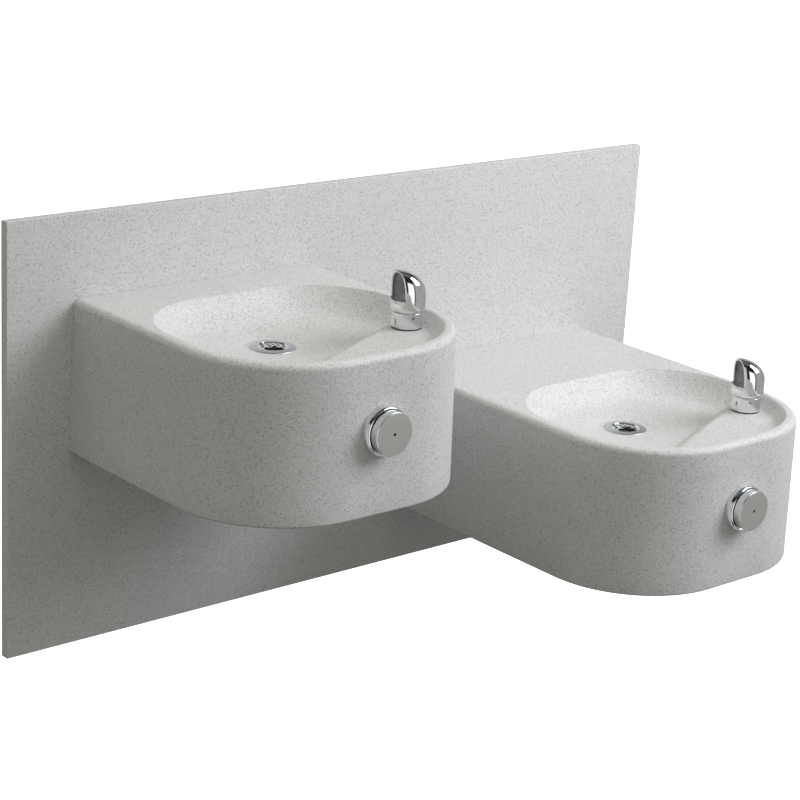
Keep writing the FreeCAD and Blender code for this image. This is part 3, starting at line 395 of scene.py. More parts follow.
shellSizes = {
    "outerCorner": 0.135, "edgeRound": 0.008, "footRound": 0.003, "flare": 0.025,
    "sideWall": 0.012, "rearWall": 0.015,
    "seam": 0.0007, "chamfer": 0.0008, "margin": 0.014, "lip": 0.0045, "bowlBack": 0.290, "bowlCorner": 0.110,
    "wallDrop": 0.024, "wallReach": 0.034, "dishDrop": 0.0205, "blend": 0.005, "flatRadius": 0.034,
    "topThick": 0.012, "cornerDrop": 0.004, "floorThick": 0.010, "drainHole": 0.0195,
    "ledgeFall": 0.10, "ledgeWall": 0.013, "creasePast": 0.025, "creaseAngle": 24.0, "creaseBlend": 0.006,
    "bossRadius": 0.010, "bossInset": 0.008, "bossHeight": 0.022, "holeRadius": 0.0024,
    "sleeveHole": 0.0135, "shankHole": 0.00695, "studHole": 0.0056, "wasteHole": 0.021, "supplyHole": 0.009,
}
ringSteps = {"corner": 48, "front": 16, "side": 24, "rear": 36}


def outline(half, front, back, frontCorner, backCorner, square=False):
    # a level outline from its front left: its rear corners are round, or square with as many points
    points = []
    quarter = math.pi / 2

    def run(count, x0, y0, x1, y1):
        for i in range(count):
            points.append((x0 + (x1 - x0) * i / count, y0 + (y1 - y0) * i / count))

    def bend(x, y, radius, start):
        for i in range(ringSteps["corner"]):
            angle = start + quarter * i / ringSteps["corner"]
            c, s = math.cos(angle), math.sin(angle)
            reach = radius / max(abs(c), abs(s)) if square and y > (front + back) / 2 else radius
            points.append((x + reach * c, y + reach * s))

    inner, rear = half - frontCorner, half - backCorner
    run(ringSteps["front"], -inner, front, inner, front)
    bend(inner, front + frontCorner, frontCorner, -quarter)
    run(ringSteps["side"], half, front + frontCorner, half, back - backCorner)
    bend(rear, back - backCorner, backCorner, 0.0)
    run(ringSteps["rear"], rear, back, -rear, back)
    bend(-rear, back - backCorner, backCorner, quarter)
    run(ringSteps["side"], -half, back - backCorner, -half, front + frontCorner)
    bend(-inner, front + frontCorner, frontCorner, 2 * quarter)
    return points


def lower(a, b, blend):  # the lower of two heights, rounded where they meet
    near = max(blend - abs(a - b), 0.0) / blend
    return min(a, b) - near * near * blend / 4


def higher(a, b, blend):
    return -lower(-a, -b, blend)


class Basin:
    def __init__(self, name):
        self.name = name
        low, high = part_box(f"{name}_basin_shell")
        self.place = Vector(((low.x + high.x) / 2, low.y, high.z))  # middle of the front edge, at the rim
        self.half, self.depth, self.height = (high.x - low.x) / 2, high.y - low.y, high.z - low.z
        self.drain = middleOf(f"{name}_drain_strainer") - self.place
        self.bubbler = middleOf(f"{name}_bubbler_base") - self.place
        self.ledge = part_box(f"{name}_bubbler_gasket")[0].z - self.place.z
        self.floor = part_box(f"{name}_drain_gasket")[1].z - self.place.z + shellSizes["floorThick"]
        self.button = middleOf(f"{name}_button_escutcheon") - self.place

    def node(self, piece):
        return f"{self.name}_{piece}"

    def at(self, x, y, z):
        return self.place + Vector((x, y, z))

    def inside(self, x, y):  # how far a point is inside the bowl's rim
        s = shellSizes
        middle, reach = (s["margin"] + s["bowlBack"]) / 2, (s["bowlBack"] - s["margin"]) / 2
        corner = s["outerCorner"] - s["margin"] if y < middle else s["bowlCorner"]
        across = abs(x) - (self.half - s["margin"]) + corner
        along = abs(y - middle) - reach + corner
        out = math.hypot(max(across, 0.0), max(along, 0.0))
        return corner - out - min(max(across, along), 0.0)

    def top(self, x, y):  # height of the upper face, from the rim
        s = shellSizes
        depth = self.inside(x, y)
        away = max(0.0, math.hypot(x, y - self.drain.y) - s["flatRadius"])

        def wall(reach):  # 0 at the rim, 1 past the wall's foot, a straight climb outside
            share = depth / reach
            return 2 * share if share < 0 else 1 - (1 - min(share, 1.0)) ** 2

        sink = max(depth, 0.0) / (max(depth, 0.0) + away + 1e-9)
        bowl = -s["wallDrop"] * wall(s["wallReach"]) - s["dishDrop"] * sink
        turn = math.radians(s["creaseAngle"])
        past = ((x - self.bubbler.x) * math.sin(turn)
                - (y - self.bubbler.y - s["creasePast"]) * math.cos(turn))
        left = max(0.0, self.bubbler.x - s["creasePast"] - x)
        ledge = lower(self.ledge - s["ledgeFall"] * left, self.ledge + past, s["creaseBlend"])
        ledge = ledge * wall(s["ledgeWall"])
        return lower(0.0, higher(bowl, ledge, s["blend"]), s["blend"])

    def under(self, x, y):  # height of the ceiling inside
        s = shellSizes
        away = math.hypot(x, y - self.drain.y) - s["flatRadius"]
        thick = s["floorThick"] + (s["topThick"] - s["floorThick"]) * min(1.0, max(0.0, away / 0.05))
        return min(-s["topThick"], self.top(x, y) - thick)

    def screwPlaces(self):  # of the bottom cover
        s = shellSizes
        reach = s["outerCorner"] - s["sideWall"] - s["bossInset"]
        cornerX = self.half - s["outerCorner"] + reach * math.sqrt(0.5)
        cornerY = s["outerCorner"] - reach * math.sqrt(0.5)
        sideX = self.half - s["sideWall"] - s["bossInset"]
        rearY = self.depth - s["rearWall"] - s["bossInset"]
        for side in (-1, 1):
            yield side * cornerX, cornerY
            yield side * sideX, (cornerY + rearY) / 2
            yield side * sideX, rearY


def makeShell(basin):
    s = shellSizes
    spokes = 84  # rings from the rim to the drain
    centre = Vector((0.0, basin.drain.y))

    def outer(inset, height, rear, flare=0.0):  # a ring of the outside, set in from the widest outline
        ring = outline(basin.half - inset - flare * height, inset, basin.depth - rear, s["outerCorner"] - inset,
                       s["bowlCorner"], square=True)
        return [Vector((x, y, height)) for x, y in ring]

    def towards(ring, height, spread):  # rings from an outline to the drain hole
        for i in range(1, spokes + 1):
            share = i / spokes
            share *= spread + (1 - spread) * share
            row = []
            for x, y in ring:
                spot = Vector((x, y))
                edge = centre + (spot - centre).normalized() * s["drainHole"]
                spot = spot.lerp(edge, share)
                row.append(Vector((spot.x, spot.y, height(spot.x, spot.y))))
            yield row

    lip = s["margin"] - s["lip"]
    rim = outline(basin.half - lip, lip, s["bowlBack"] + s["lip"], s["outerCorner"] - lip,
                  s["bowlCorner"] + s["lip"])
    rows = list(reversed(list(towards(rim, basin.top, 0.45))))
    rows.append([Vector((x, y, 0.0)) for x, y in rim])
    for i in range(9):  # the rounded edge, which at the rear is only a thin seam
        angle = math.pi / 2 * i / 8
        inset = 1 - math.sin(angle)
        rows.append(outer(s["edgeRound"] * inset, -s["edgeRound"] * (1 - math.cos(angle)), s["seam"] * inset,
                          s["flare"]))
    wallLow = -basin.height + s["footRound"]
    for i in range(1, 7):
        rows.append(outer(0.0, -s["edgeRound"] + (wallLow + s["edgeRound"]) * i / 6, 0.0, s["flare"]))
    for i in range(1, 6):
        angle = math.pi / 2 * i / 5
        inset = 1 - math.cos(angle)
        rows.append(outer(s["footRound"] * inset, wallLow - s["footRound"] * math.sin(angle), s["seam"] * inset,
                          s["flare"]))
    chamfer = s["chamfer"]
    rearShare = s["rearWall"] - s["sideWall"]
    rows.append(outer(s["sideWall"] - chamfer, -basin.height, s["rearWall"] - chamfer))
    rows.append(outer(s["sideWall"], -basin.height + chamfer, s["rearWall"]))
    ceiling = -s["topThick"] - s["cornerDrop"]
    for i in range(1, 5):
        rows.append(outer(s["sideWall"], -basin.height + (ceiling + basin.height) * i / 4, s["rearWall"]))
    inner = outline(basin.half - s["sideWall"], s["sideWall"], basin.depth - s["rearWall"],
                    s["outerCorner"] - s["sideWall"], s["bowlCorner"] - rearShare, square=True)
    rows += towards(inner, basin.under, 0.8)
    skin = Skin()
    skin.rows(rows, around=True, over=True)
    shell = skin.piece(basin.node("basinShell"), Matrix.Translation(basin.place))

    screws = list(basin.screwPlaces())
    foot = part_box(basin.node("bottom_cover"))[1].z - basin.place.z
    bosses = [(basin.at(x, y, foot), basin.at(x, y, foot + s["bossHeight"]), s["bossRadius"]) for x, y in screws]
    joinSolid(shell, rods("bosses", bosses), "UNION")
    holes = [(basin.at(x, y, foot - 0.001), basin.at(x, y, foot + s["bossHeight"] - 0.004), s["holeRadius"])
             for x, y in screws]
    holes.append((basin.at(0, -0.01, basin.button.z), basin.at(0, 0.02, basin.button.z), s["sleeveHole"]))
    holes.append((basin.at(basin.bubbler.x, basin.bubbler.y, -0.06),
                  basin.at(basin.bubbler.x, basin.bubbler.y, 0.01), s["shankHole"]))
    holes += wallHoles(basin, basin.place.y + basin.depth - 0.03, basin.place.y + basin.depth + 0.01)
    joinSolid(shell, rods("holes", holes), "DIFFERENCE")
    dress(shell, "cast_resin", nodes=[basin.node("basin_shell")])


def wallHoles(basin, start, end):  # what passes to the wall: four studs, the waste and the supply
    s = shellSizes
    places = [(studSpot.x, studSpot.z, s["studHole"]) for studSpot in studSpots(basin)]
    for node, radius in (("waste_arm", s["wasteHole"]), ("supply_tube", s["supplyHole"])):
        spot = middleOf(basin.node(node))
        places.append((spot.x, spot.z, radius))
    return [((x, start, z), (x, end, z), radius) for x, z, radius in places]


studSizes = {"across": 0.260, "top": 0.075, "apart": 0.080, "radius": 0.0047625, "pitch": 0.0015875,
             "ridge": 0.0010, "tip": 0.0012}


def studSpots(basin):
    low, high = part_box("mounting_studs")
    for x in (-studSizes["across"] / 2, studSizes["across"] / 2):
        for down in (studSizes["top"], studSizes["top"] + studSizes["apart"]):
            yield Vector((basin.place.x + x, high.y, basin.place.z - down))


basins = [Basin(name) for name in basinNames]
for basin in basins:
    makeShell(basin)
print("basin shells made")


# Back panel

panelSizes = {"bevel": 0.0011}


def makePanel():
    low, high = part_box("back_panel")
    shape = bmesh.new()
    bmesh.ops.create_cube(shape, size=1.0)
    middle, size = (low + high) / 2, high - low
    shape.transform(Matrix.Translation(middle) @ Matrix.Diagonal((*size, 1.0)))
    bmesh.ops.bevel(shape, geom=shape.edges[:], offset=panelSizes["bevel"], segments=3, profile=0.5,
                    affect="EDGES")
    mesh = bpy.data.meshes.new("backPanel")
    shape.to_mesh(mesh)
    shape.free()
    panel = bpy.data.objects.new("backPanel", mesh)
    bpy.context.scene.collection.objects.link(panel)
    holes = [hole for basin in basins for hole in wallHoles(basin, low.y - 0.01, high.y + 0.01)]
    joinSolid(panel, rods("panelHoles", holes), "DIFFERENCE")
    dress(panel, "cast_resin", nodes=["back_panel"])


makePanel()
print("back panel made")


# Bubblers

hoodSizes = {
    "radius": 0.0211, "wall": 0.0025, "foot": 0.0215, "base": 0.0350, "spring": 0.0430, "peak": 0.0690,
    "mouth": 0.0128, "lean": 0.0024, "fullness": 0.72, "rimBulge": 0.0007, "footRound": 0.0010,
    "trayDrop": 0.0012, "traySlope": 0.0012, "nozzleHole": 0.00505, "shankTop": 0.0260, "shankHole": 0.0064,
    "spigot": 0.0140, "spigotFoot": 0.0090, "grubAzimuth": 77.0,
}
mouthTurn = {"high": 6.0, "low": 20.0}


def makeHood(basin, matrix):
    # local +X comes out of the mouth, heights are from the ledge
    s = hoodSizes
    backSteps, frontSteps, riseSteps, rimSteps = 112, 40, 44, 6

    def opening(radius):  # half the angle that the mouth takes from a level circle
        return math.acos(s["mouth"] / max(radius, s["radius"] - s["wall"]))

    def backArc(radius):  # level points from one side of the mouth round the back to the other
        start = opening(radius)
        sweep = 2 * (math.pi - start)
        return [(radius * math.cos(a), radius * math.sin(a))
                for a in (start + sweep * i / backSteps for i in range(backSteps + 1))]

    def frontArc(radius):  # the rest of that circle, back to where it started
        start = opening(radius)
        return [(radius * math.cos(a), radius * math.sin(a))
                for a in (-start + 2 * start * i / frontSteps for i in range(frontSteps + 1))]

    def ring(radius, height):
        return [Vector((x, y, height)) for x, y in backArc(radius)[:-1] + frontArc(radius)[:-1]]

    def cowl(thinner):  # rows from the base up to the peak, each smaller about the mouth's middle
        arc, peak = backArc(s["radius"] - thinner), s["peak"] - thinner
        rows = [[Vector((x, y, s["base"] + (s["spring"] - s["base"]) * i / 5)) for x, y in arc] for i in range(5)]
        for i in range(riseSteps + 1):
            angle = math.pi / 2 * i / riseSteps
            share, height = math.cos(angle), s["spring"] + (peak - s["spring"]) * math.sin(angle)
            wide = share ** s["fullness"]
            rows.append([Vector((s["mouth"] + (x - s["mouth"]) * share, y * wide, height)) for x, y in arc])
        for row in rows:  # the mouth leans out towards its top
            for spot in row:
                rise = max(0.0, spot.z - s["base"]) / (s["peak"] - s["base"])
                spot.x += s["lean"] * rise * rise * (2 - rise)
        return rows

    skin = Skin()
    outside, within = cowl(0.0), cowl(s["wall"])
    skin.rows(outside)
    skin.rows(within)

    def edge(outer, inner, direction):  # a rounded strip between two lines
        rows = []
        for i in range(rimSteps + 1):
            angle = math.pi * i / rimSteps
            row = []
            for a, b, push in zip(outer, inner, direction):
                middle, half = (a + b) / 2, (a - b) / 2
                row.append(middle + half * math.cos(angle) + push * math.sin(angle) * s["rimBulge"])
            rows.append(row)
        skin.rows(rows)

    def rimLine(rows):
        return [row[0] for row in rows] + [row[-1] for row in reversed(rows[:-1])]

    ahead, up = Vector((1, 0, 0)), Vector((0, 0, 1))
    corner = (ahead + up).normalized()
    count = len(outside)
    mix = [min(1.0, min(i, 2 * count - 2 - i) / 4) for i in range(2 * count - 1)]
    edge(rimLine(outside), rimLine(within), [corner.lerp(ahead, m).normalized() for m in mix])
    lipOut = [Vector((x, y, s["base"])) for x, y in frontArc(s["radius"])]
    lipIn = [Vector((x, y, s["base"])) for x, y in frontArc(s["radius"] - s["wall"])]
    mix = [min(1.0, min(i, frontSteps - i) / 4) for i in range(frontSteps + 1)]
    edge(lipOut, lipIn, [corner.lerp(up, m).normalized() for m in mix])

    # everything below the base is turned
    def rings(corners):
        line = softened(corners, closed=False)
        skin.rows([ring(p.x, p.y) for p in line], around=True)

    inner, tray = s["radius"] - s["wall"], s["base"] - s["trayDrop"]
    rings([
        (inner, s["base"], 0), (inner, tray, 0.0008), (s["nozzleHole"] + 0.0012, tray - s["traySlope"], 0.0008),
        (s["nozzleHole"], tray - s["traySlope"] - 0.0012, 0.0005), (s["nozzleHole"], s["shankTop"], 0),
        (s["shankHole"], s["shankTop"], 0),
        (s["shankHole"], s["spigotFoot"], 0), (s["spigot"], s["spigotFoot"], 0.0005), (s["spigot"], s["foot"], 0),
        (s["radius"] - 0.0006, s["foot"], s["footRound"]), (s["radius"], s["foot"] + 0.0030, 0.0016),
        (s["radius"], s["base"], 0)])
    hood = skin.piece(basin.node("bubblerHood"), matrix, 40.0)
    dress(hood, "chrome", nodes=[basin.node("bubbler_head")])
    hood.data.materials.append(finishes["dull_chrome"])
    back = matrix.inverted()
    for face in hood.data.polygons:  # the inside is left dull, and its paler colour is painted fill light that lifts the shaded hollow
        spot, way = back @ face.center, back.to_3x3() @ face.normal
        level = Vector((spot.x, spot.y, 0.0))
        if spot.z > s["shankTop"] and (way.dot(level) < 0 or way.z > 0.9 and spot.z < s["base"]):
            face.material_index = 1


baseSizes = {"hole": 0.0064, "top": 0.0205, "socket": 0.01405, "floor": 0.0085, "foot": 0.0015,
             "grubHole": 0.0021, "grubHeight": 0.0155}


def makeBubblerBase(basin, matrix):
    s = baseSizes
    low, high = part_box(basin.node("bubbler_base"))
    radius = (high.x - low.x) / 2
    ring = turned(basin.node("bubblerBase"), [
        (s["hole"], s["foot"], 0), (radius, s["foot"], 0.0007), (radius, s["top"], 0.0012),
        (s["socket"], s["top"], 0.0004), (s["socket"], s["floor"], 0), (s["hole"], s["floor"], 0)], matrix)
    turn = math.radians(hoodSizes["grubAzimuth"])
    aim = Vector((math.cos(turn), math.sin(turn), 0))
    start, end = aim * 0.010 + Vector((0, 0, s["grubHeight"])), aim * 0.025 + Vector((0, 0, s["grubHeight"]))
    joinSolid(ring, rods("grubHole", [(matrix @ start, matrix @ end, s["grubHole"])], 32), "DIFFERENCE")
    dress(ring, "chrome", nodes=[basin.node("bubbler_base")])


nozzleSizes = {"bore": 0.0015, "radius": 0.0050, "foot": 0.0260, "top": 0.0295}


def makeNozzle(basin, matrix):
    s = nozzleSizes
    nozzle = turned(basin.node("bubblerNozzle"), [
        (s["bore"], s["foot"], 0), (s["radius"], s["foot"], 0), (s["radius"], s["top"] - 0.001, 0.0004),
        (s["radius"] - 0.0012, s["top"], 0.0004), (s["bore"] + 0.001, s["top"], 0.0004),
        (s["bore"], s["top"] - 0.001, 0)], matrix, 64)
    dress(nozzle, "brass", nodes=[basin.node("bubbler_nozzle")])


for basin in basins:
    stand = Matrix.Translation(basin.at(basin.bubbler.x, basin.bubbler.y, basin.ledge))
    stand = stand @ Matrix.Rotation(math.radians(180.0 - mouthTurn[basin.name]), 4, "Z")
    makeHood(basin, stand)
    makeBubblerBase(basin, stand)
    makeNozzle(basin, stand)
print("bubblers made")


# Push buttons

buttonSizes = {
    "cap": 0.0255, "face": 0.0204, "crown": 0.0007, "rim": 0.0075, "wall": 0.0020, "thick": 0.0025,
    "pinhole": 0.00175, "stepDown": 0.0008, "stepIn": 0.0009,
    "ring": 0.0300, "ringHigh": 0.0090, "gap": 0.0007, "ringHole": 0.0132, "ringFloor": 0.0020,
}


def makeButton(basin):
    s = buttonSizes
    matrix = Matrix.Translation(basin.at(0, 0, basin.button.z)) @ outwards
    under = s["face"] - s["thick"]
    cap = turned(basin.node("buttonCap"), [
        (s["pinhole"], under, 0), (s["cap"] - s["wall"], under, 0), (s["cap"] - s["wall"], s["rim"], 0),
        (s["cap"], s["rim"], 0.0004), (s["cap"], s["face"] - s["stepDown"], 0.0006),
        (s["cap"] - s["stepIn"], s["face"] - s["stepDown"], 0.0001),
        (s["cap"] - s["stepIn"] - 0.0002, s["face"] - 0.0004, 0.0003),
        (s["cap"] * 0.6, s["face"] + s["crown"] * 0.64 - 0.0004, 0.01), (s["pinhole"], s["face"] + 0.0001, 0.0003),
    ], matrix)
    dress(cap, "satin_chrome", f"{basin.name}_button", [basin.node("button_cap")], matrix)
    cap.data.materials.append(finishes["chrome"])
    edge = s["cap"] - s["stepIn"] - 0.0001
    for face in cap.data.polygons:  # the barrel is polished, the face satin
        spot = matrix.inverted() @ face.center
        if math.hypot(spot.x, spot.y) > edge or spot.z < s["face"] - 0.001:
            face.material_index = 1
    inner, high, ring = s["cap"] + s["gap"], s["ringHigh"], s["ring"]
    dome = [(inner + 0.0003 + (ring - inner - 0.0003) * math.cos(a), high * math.sin(a), 0)
            for a in (math.pi / 2 * i / 16 for i in range(17))]
    plate = turned(basin.node("buttonEscutcheon"), [
        (s["ringHole"], 0.0, 0), *dome, (inner, s["ringFloor"], 0), (s["ringHole"], s["ringFloor"], 0)], matrix)
    dress(plate, "chrome", nodes=[basin.node("button_escutcheon")])


for basin in basins:
    makeButton(basin)
print("push buttons made")


# Drain strainers: a turned plate that a geometry tree perforates

strainerSizes = {"flange": 0.0280, "thick": 0.0016, "thread": 0.0190, "end": 0.0335, "bore": 0.0165,
                 "dome": 0.0170, "crown": 0.0036, "hole": 0.0021,
                 "edge": 0.0009, "land": 0.0195, "landEnd": 0.0182, "shoulder": 0.0110, "shoulderDown": 0.0013,
                 "hub": 0.0050, "hubDown": 0.0002, "skin": 0.0012, "innerRing": 0.0062, "outerRing": 0.0127}


def newTree(name, inputs):
    group = bpy.data.node_groups.new(name, "GeometryNodeTree")
    kinds = {"geometry": "NodeSocketGeometry", "size": "NodeSocketFloat", "count": "NodeSocketInt",
             "place": "NodeSocketVector", "finish": "NodeSocketMaterial"}
    for title, kind in inputs.items():
        group.interface.new_socket(name=title, in_out="INPUT", socket_type=kinds[kind])
    group.interface.new_socket(name="Geometry", in_out="OUTPUT", socket_type="NodeSocketGeometry")
    tree = Tree(group)
    return tree, tree.node("NodeGroupInput")


def endTree(tree, shape, finish):
    whole = tree.node("GeometryNodeRealizeInstances", None, {"Geometry": shape})
    painted = tree.node("GeometryNodeSetMaterial", None, {"Geometry": whole, "Material": finish})
    tree.node("NodeGroupOutput", None, {"Geometry": painted})
    return tree.nodeTree


def runTree(piece, group, values):
    modifier = piece.modifiers.new("tree", "NODES")
    modifier.node_group = group
    for item in group.interface.items_tree:
        if item.in_out == "INPUT" and item.name in values:
            modifier[item.identifier] = values[item.name]
    piece.update_tag()
    applied(piece)


def perforationTree():
    tree, given = newTree("perforation", {
        "Geometry": "geometry", "Centre": "place", "Hole Radius": "size", "Inner Ring": "size",
        "Outer Ring": "size", "Inner Holes": "count", "Outer Holes": "count", "Finish": "finish"})
    punch = tree.node("GeometryNodeMeshCylinder", None, {
        "Vertices": 24, "Radius": given.other("Hole Radius"), "Depth": 0.008})
    middle = tree.node("GeometryNodeTransform", None, {"Geometry": punch, "Scale": (0.85, 0.85, 1.0)})

    def row(holes, radius):
        circle = tree.node("GeometryNodeMeshCircle", None, {"Vertices": given.other(holes),
                                                            "Radius": given.other(radius)})
        spun = tree.node("GeometryNodeTransform", None, {
            "Geometry": circle, "Rotation": (0, 0, math.pi / 12)})
        return tree.node("GeometryNodeInstanceOnPoints", None, {"Points": spun, "Instance": punch})

    punches = tree.node("GeometryNodeJoinGeometry", None, {
        "Geometry": [middle, row("Inner Holes", "Inner Ring"), row("Outer Holes", "Outer Ring")]})
    punches = tree.node("GeometryNodeRealizeInstances", None, {"Geometry": punches})
    placed = tree.node("GeometryNodeTransform", None, {"Geometry": punches, "Translation": given.other("Centre")})
    cut = tree.node("GeometryNodeMeshBoolean", {"operation": "DIFFERENCE", "solver": "EXACT"},
                    {"Mesh 1": given, "Mesh 2": placed})
    return endTree(tree, cut, given.other("Finish"))


def makeStrainer(basin, group):
    s = strainerSizes
    matrix = Matrix.Translation(basin.at(0, basin.drain.y, basin.floor))
    plate, end, top, skin = s["thick"], -s["end"], s["crown"], s["skin"]
    piece = turned(basin.node("drainStrainer"), [
        (s["bore"], end, 0), (s["thread"], end, 0.0004), (s["thread"], 0.0, 0), (s["flange"], 0.0, 0.0002),
        (s["flange"] - 0.0006, s["edge"], 0.0006), (s["land"], plate, 0.0040), (s["landEnd"], plate, 0.0006),
        (s["dome"] + 0.0002, 0.0004, 0.0006), (s["shoulder"], top - s["shoulderDown"], 0.0200),
        (s["hub"], top - s["hubDown"], 0.0200), (0.0, top, 0), (0.0, top - skin, 0),
        (s["shoulder"], top - s["shoulderDown"] - skin, 0.0100),
        (s["bore"] - 0.0004, -0.0012, 0), (s["bore"], -0.0022, 0)], matrix, 120)
    runTree(piece, group, {
        "Centre": matrix.translation, "Hole Radius": s["hole"], "Inner Ring": s["innerRing"],
        "Outer Ring": s["outerRing"], "Inner Holes": 6, "Outer Holes": 12, "Finish": finishes["strainer_steel"]})
    smooth(piece)
    dress(piece, None, nodes=[basin.node("drain_strainer")], matrix=matrix)


perforation = perforationTree()
for basin in basins:
    makeStrainer(basin, perforation)
print("strainers made")


# Fasteners: geometry trees put one of each on every place

screwSizes = {"head": 0.0046, "thick": 0.0022, "crown": 0.0009, "shank": 0.0023, "length": 0.0155,
              "slot": 0.0011, "slotDeep": 0.0013}


def pointCloud(name, places):
    mesh = bpy.data.meshes.new(name)
    mesh.from_pydata([tuple(p) for p in places], [], [])
    cloud = bpy.data.objects.new(name, mesh)
    bpy.context.scene.collection.objects.link(cloud)
    return cloud


def screwTree():  # a domed head with a cross recess, looking down, and its shank
    tree, given = newTree("coverScrews", {
        "Geometry": "geometry", "Head Radius": "size", "Head Height": "size", "Crown": "size",
        "Shank Radius": "size", "Length": "size", "Slot Width": "size", "Slot Depth": "size", "Finish": "finish"})
    thick, radius = given.other("Head Height"), given.other("Head Radius")
    head = tree.node("GeometryNodeMeshCylinder", {"fill_type": "TRIANGLE_FAN"}, {
        "Vertices": 40, "Side Segments": 2, "Fill Segments": 6, "Radius": radius, "Depth": thick})
    place = tree.node("ShaderNodeSeparateXYZ", None, {"Vector": tree.node("GeometryNodeInputPosition")})
    x, y, z = place, place.other("Y"), place.other("Z")
    fall = (x * x + y * y) / (radius * radius) * given.other("Crown")
    lift = tree.node("ShaderNodeCombineXYZ", None, {"Z": fall * (z < -0.0002)})
    head = tree.node("GeometryNodeSetPosition", None, {"Geometry": head, "Offset": lift})
    shank = tree.node("GeometryNodeMeshCylinder", None, {
        "Vertices": 24, "Radius": given.other("Shank Radius"), "Depth": given.other("Length")})
    rise = tree.node("ShaderNodeCombineXYZ", None, {"Z": (thick + given.other("Length")) * 0.5 - 0.0002})
    shank = tree.node("GeometryNodeTransform", None, {"Geometry": shank, "Translation": rise})
    width, deep = given.other("Slot Width"), given.other("Slot Depth")
    bars = []
    for long, short in (("X", "Y"), ("Y", "X")):
        size = tree.node("ShaderNodeCombineXYZ", None, {long: radius * 1.1, short: width, "Z": deep * 2.0})
        bars.append(tree.node("GeometryNodeMeshCube", None, {"Size": size}))
    cross = tree.node("GeometryNodeMeshBoolean", {"operation": "UNION"}, {"Mesh 2": bars})
    sink = tree.node("ShaderNodeCombineXYZ", None, {"Z": thick * -0.5})
    cross = tree.node("GeometryNodeTransform", None, {"Geometry": cross, "Translation": sink})
    head = tree.node("GeometryNodeMeshBoolean", {"operation": "DIFFERENCE"}, {"Mesh 1": head, "Mesh 2": cross})
    screw = tree.node("GeometryNodeJoinGeometry", None, {"Geometry": [head, shank]})
    spots = tree.node("GeometryNodeInstanceOnPoints", None, {"Points": given, "Instance": screw})
    return endTree(tree, spots, given.other("Finish"))


def makeScrews():
    s = screwSizes
    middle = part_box("cover_screws")[0].z + s["thick"] / 2
    rise = basins[0].place.z - basins[1].place.z
    places = [(*basin.at(x, y, 0).xy, middle + (rise if basin.name == "high" else 0.0))
              for basin in basins for x, y in basin.screwPlaces()]
    screws = pointCloud("coverScrews", places)
    runTree(screws, screwTree(), {
        "Head Radius": s["head"], "Head Height": s["thick"], "Crown": s["crown"], "Shank Radius": s["shank"],
        "Length": s["length"], "Slot Width": s["slot"], "Slot Depth": s["slotDeep"],
        "Finish": finishes["fastener_steel"]})
    smooth(screws)
    dress(screws, None, nodes=["cover_screws"])


def studTree():  # a rod with a thread wound on it, along Y
    tree, given = newTree("threadedStuds", {
        "Geometry": "geometry", "Radius": "size", "Ridge": "size", "Pitch": "size", "Length": "size",
        "Tip": "size", "Finish": "finish"})
    radius, ridge, length, tip = (given.other(n) for n in ("Radius", "Ridge", "Length", "Tip"))
    core = radius - ridge
    rod = tree.node("GeometryNodeMeshCylinder", None, {"Vertices": 32, "Radius": core + 0.0001, "Depth": length})
    threaded = length - tip * 2.0
    helix = tree.node("GeometryNodeCurveSpiral", None, {
        "Resolution": 20, "Rotations": threaded / given.other("Pitch"), "Start Radius": core + ridge * 0.35,
        "End Radius": core + ridge * 0.35, "Height": threaded})
    profile = tree.node("GeometryNodeCurvePrimitiveCircle", None, {"Resolution": 4, "Radius": ridge * 0.65})
    thread = tree.node("GeometryNodeCurveToMesh", None, {
        "Curve": helix, "Profile Curve": profile, "Fill Caps": True})
    down = tree.node("ShaderNodeCombineXYZ", None, {"Z": threaded * -0.5})
    thread = tree.node("GeometryNodeTransform", None, {"Geometry": thread, "Translation": down})
    stud = tree.node("GeometryNodeJoinGeometry", None, {"Geometry": [rod, thread]})
    lying = tree.node("GeometryNodeTransform", None, {"Geometry": stud, "Rotation": (math.pi / 2, 0, 0)})
    spots = tree.node("GeometryNodeInstanceOnPoints", None, {"Points": given, "Instance": lying})
    return endTree(tree, spots, given.other("Finish"))


def makeStuds():
    s = studSizes
    group = studTree()
    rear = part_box("mounting_studs")[1].y
    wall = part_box("back_panel")[0].y
    length = rear - (wall - shellSizes["rearWall"] - 0.014)
    places = [(spot.x, rear - length / 2, spot.z) for basin in basins for spot in studSpots(basin)]
    studs = pointCloud("mountingStuds", places)
    runTree(studs, group, {"Radius": s["radius"], "Ridge": s["ridge"], "Pitch": s["pitch"], "Length": length,
                           "Tip": s["tip"], "Finish": finishes["fastener_steel"]})
    smooth(studs)
    dress(studs, None, nodes=["mounting_studs"])


makeScrews()
makeStuds()
print("fasteners made")


# The pieces that keep their CAD shape

keptFinishes = {
    "bottom_cover": "cover_steel", "mounting_washers": "fastener_steel", "mounting_nuts": "fastener_steel",
    "grub_screws": "fastener_steel", "bubbler_locknuts": "brass", "valve_locknuts": "brass",
    "drain_locknuts": "brass", "slip_nuts": "brass", "bubbler_gasket": "black_rubber",
    "bubbler_shank": "brass", "bubbler_tube": "copper", "button_stem": "brass",
    "button_spring": "fastener_steel", "valve_sleeve": "brass", "valve_body": "brass", "valve_poppet": "brass",
    "regulator_screw": "fastener_steel", "drain_gasket": "black_rubber", "drain_tailpiece": "chrome",
    "waste_elbow": "chrome", "waste_arm": "chrome", "stop_valve_body": "brass", "stop_stem": "brass",
    "supply_tube": "copper", "feed_tube": "copper",
}
for name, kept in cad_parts.items():
    if kept.hide_render:
        continue
    plain = name.removeprefix("high_").removeprefix("low_")
    kept.data.materials.clear()
    kept.data.materials.append(finishes[keptFinishes[plain]])
print("CAD pieces painted")


# Studio

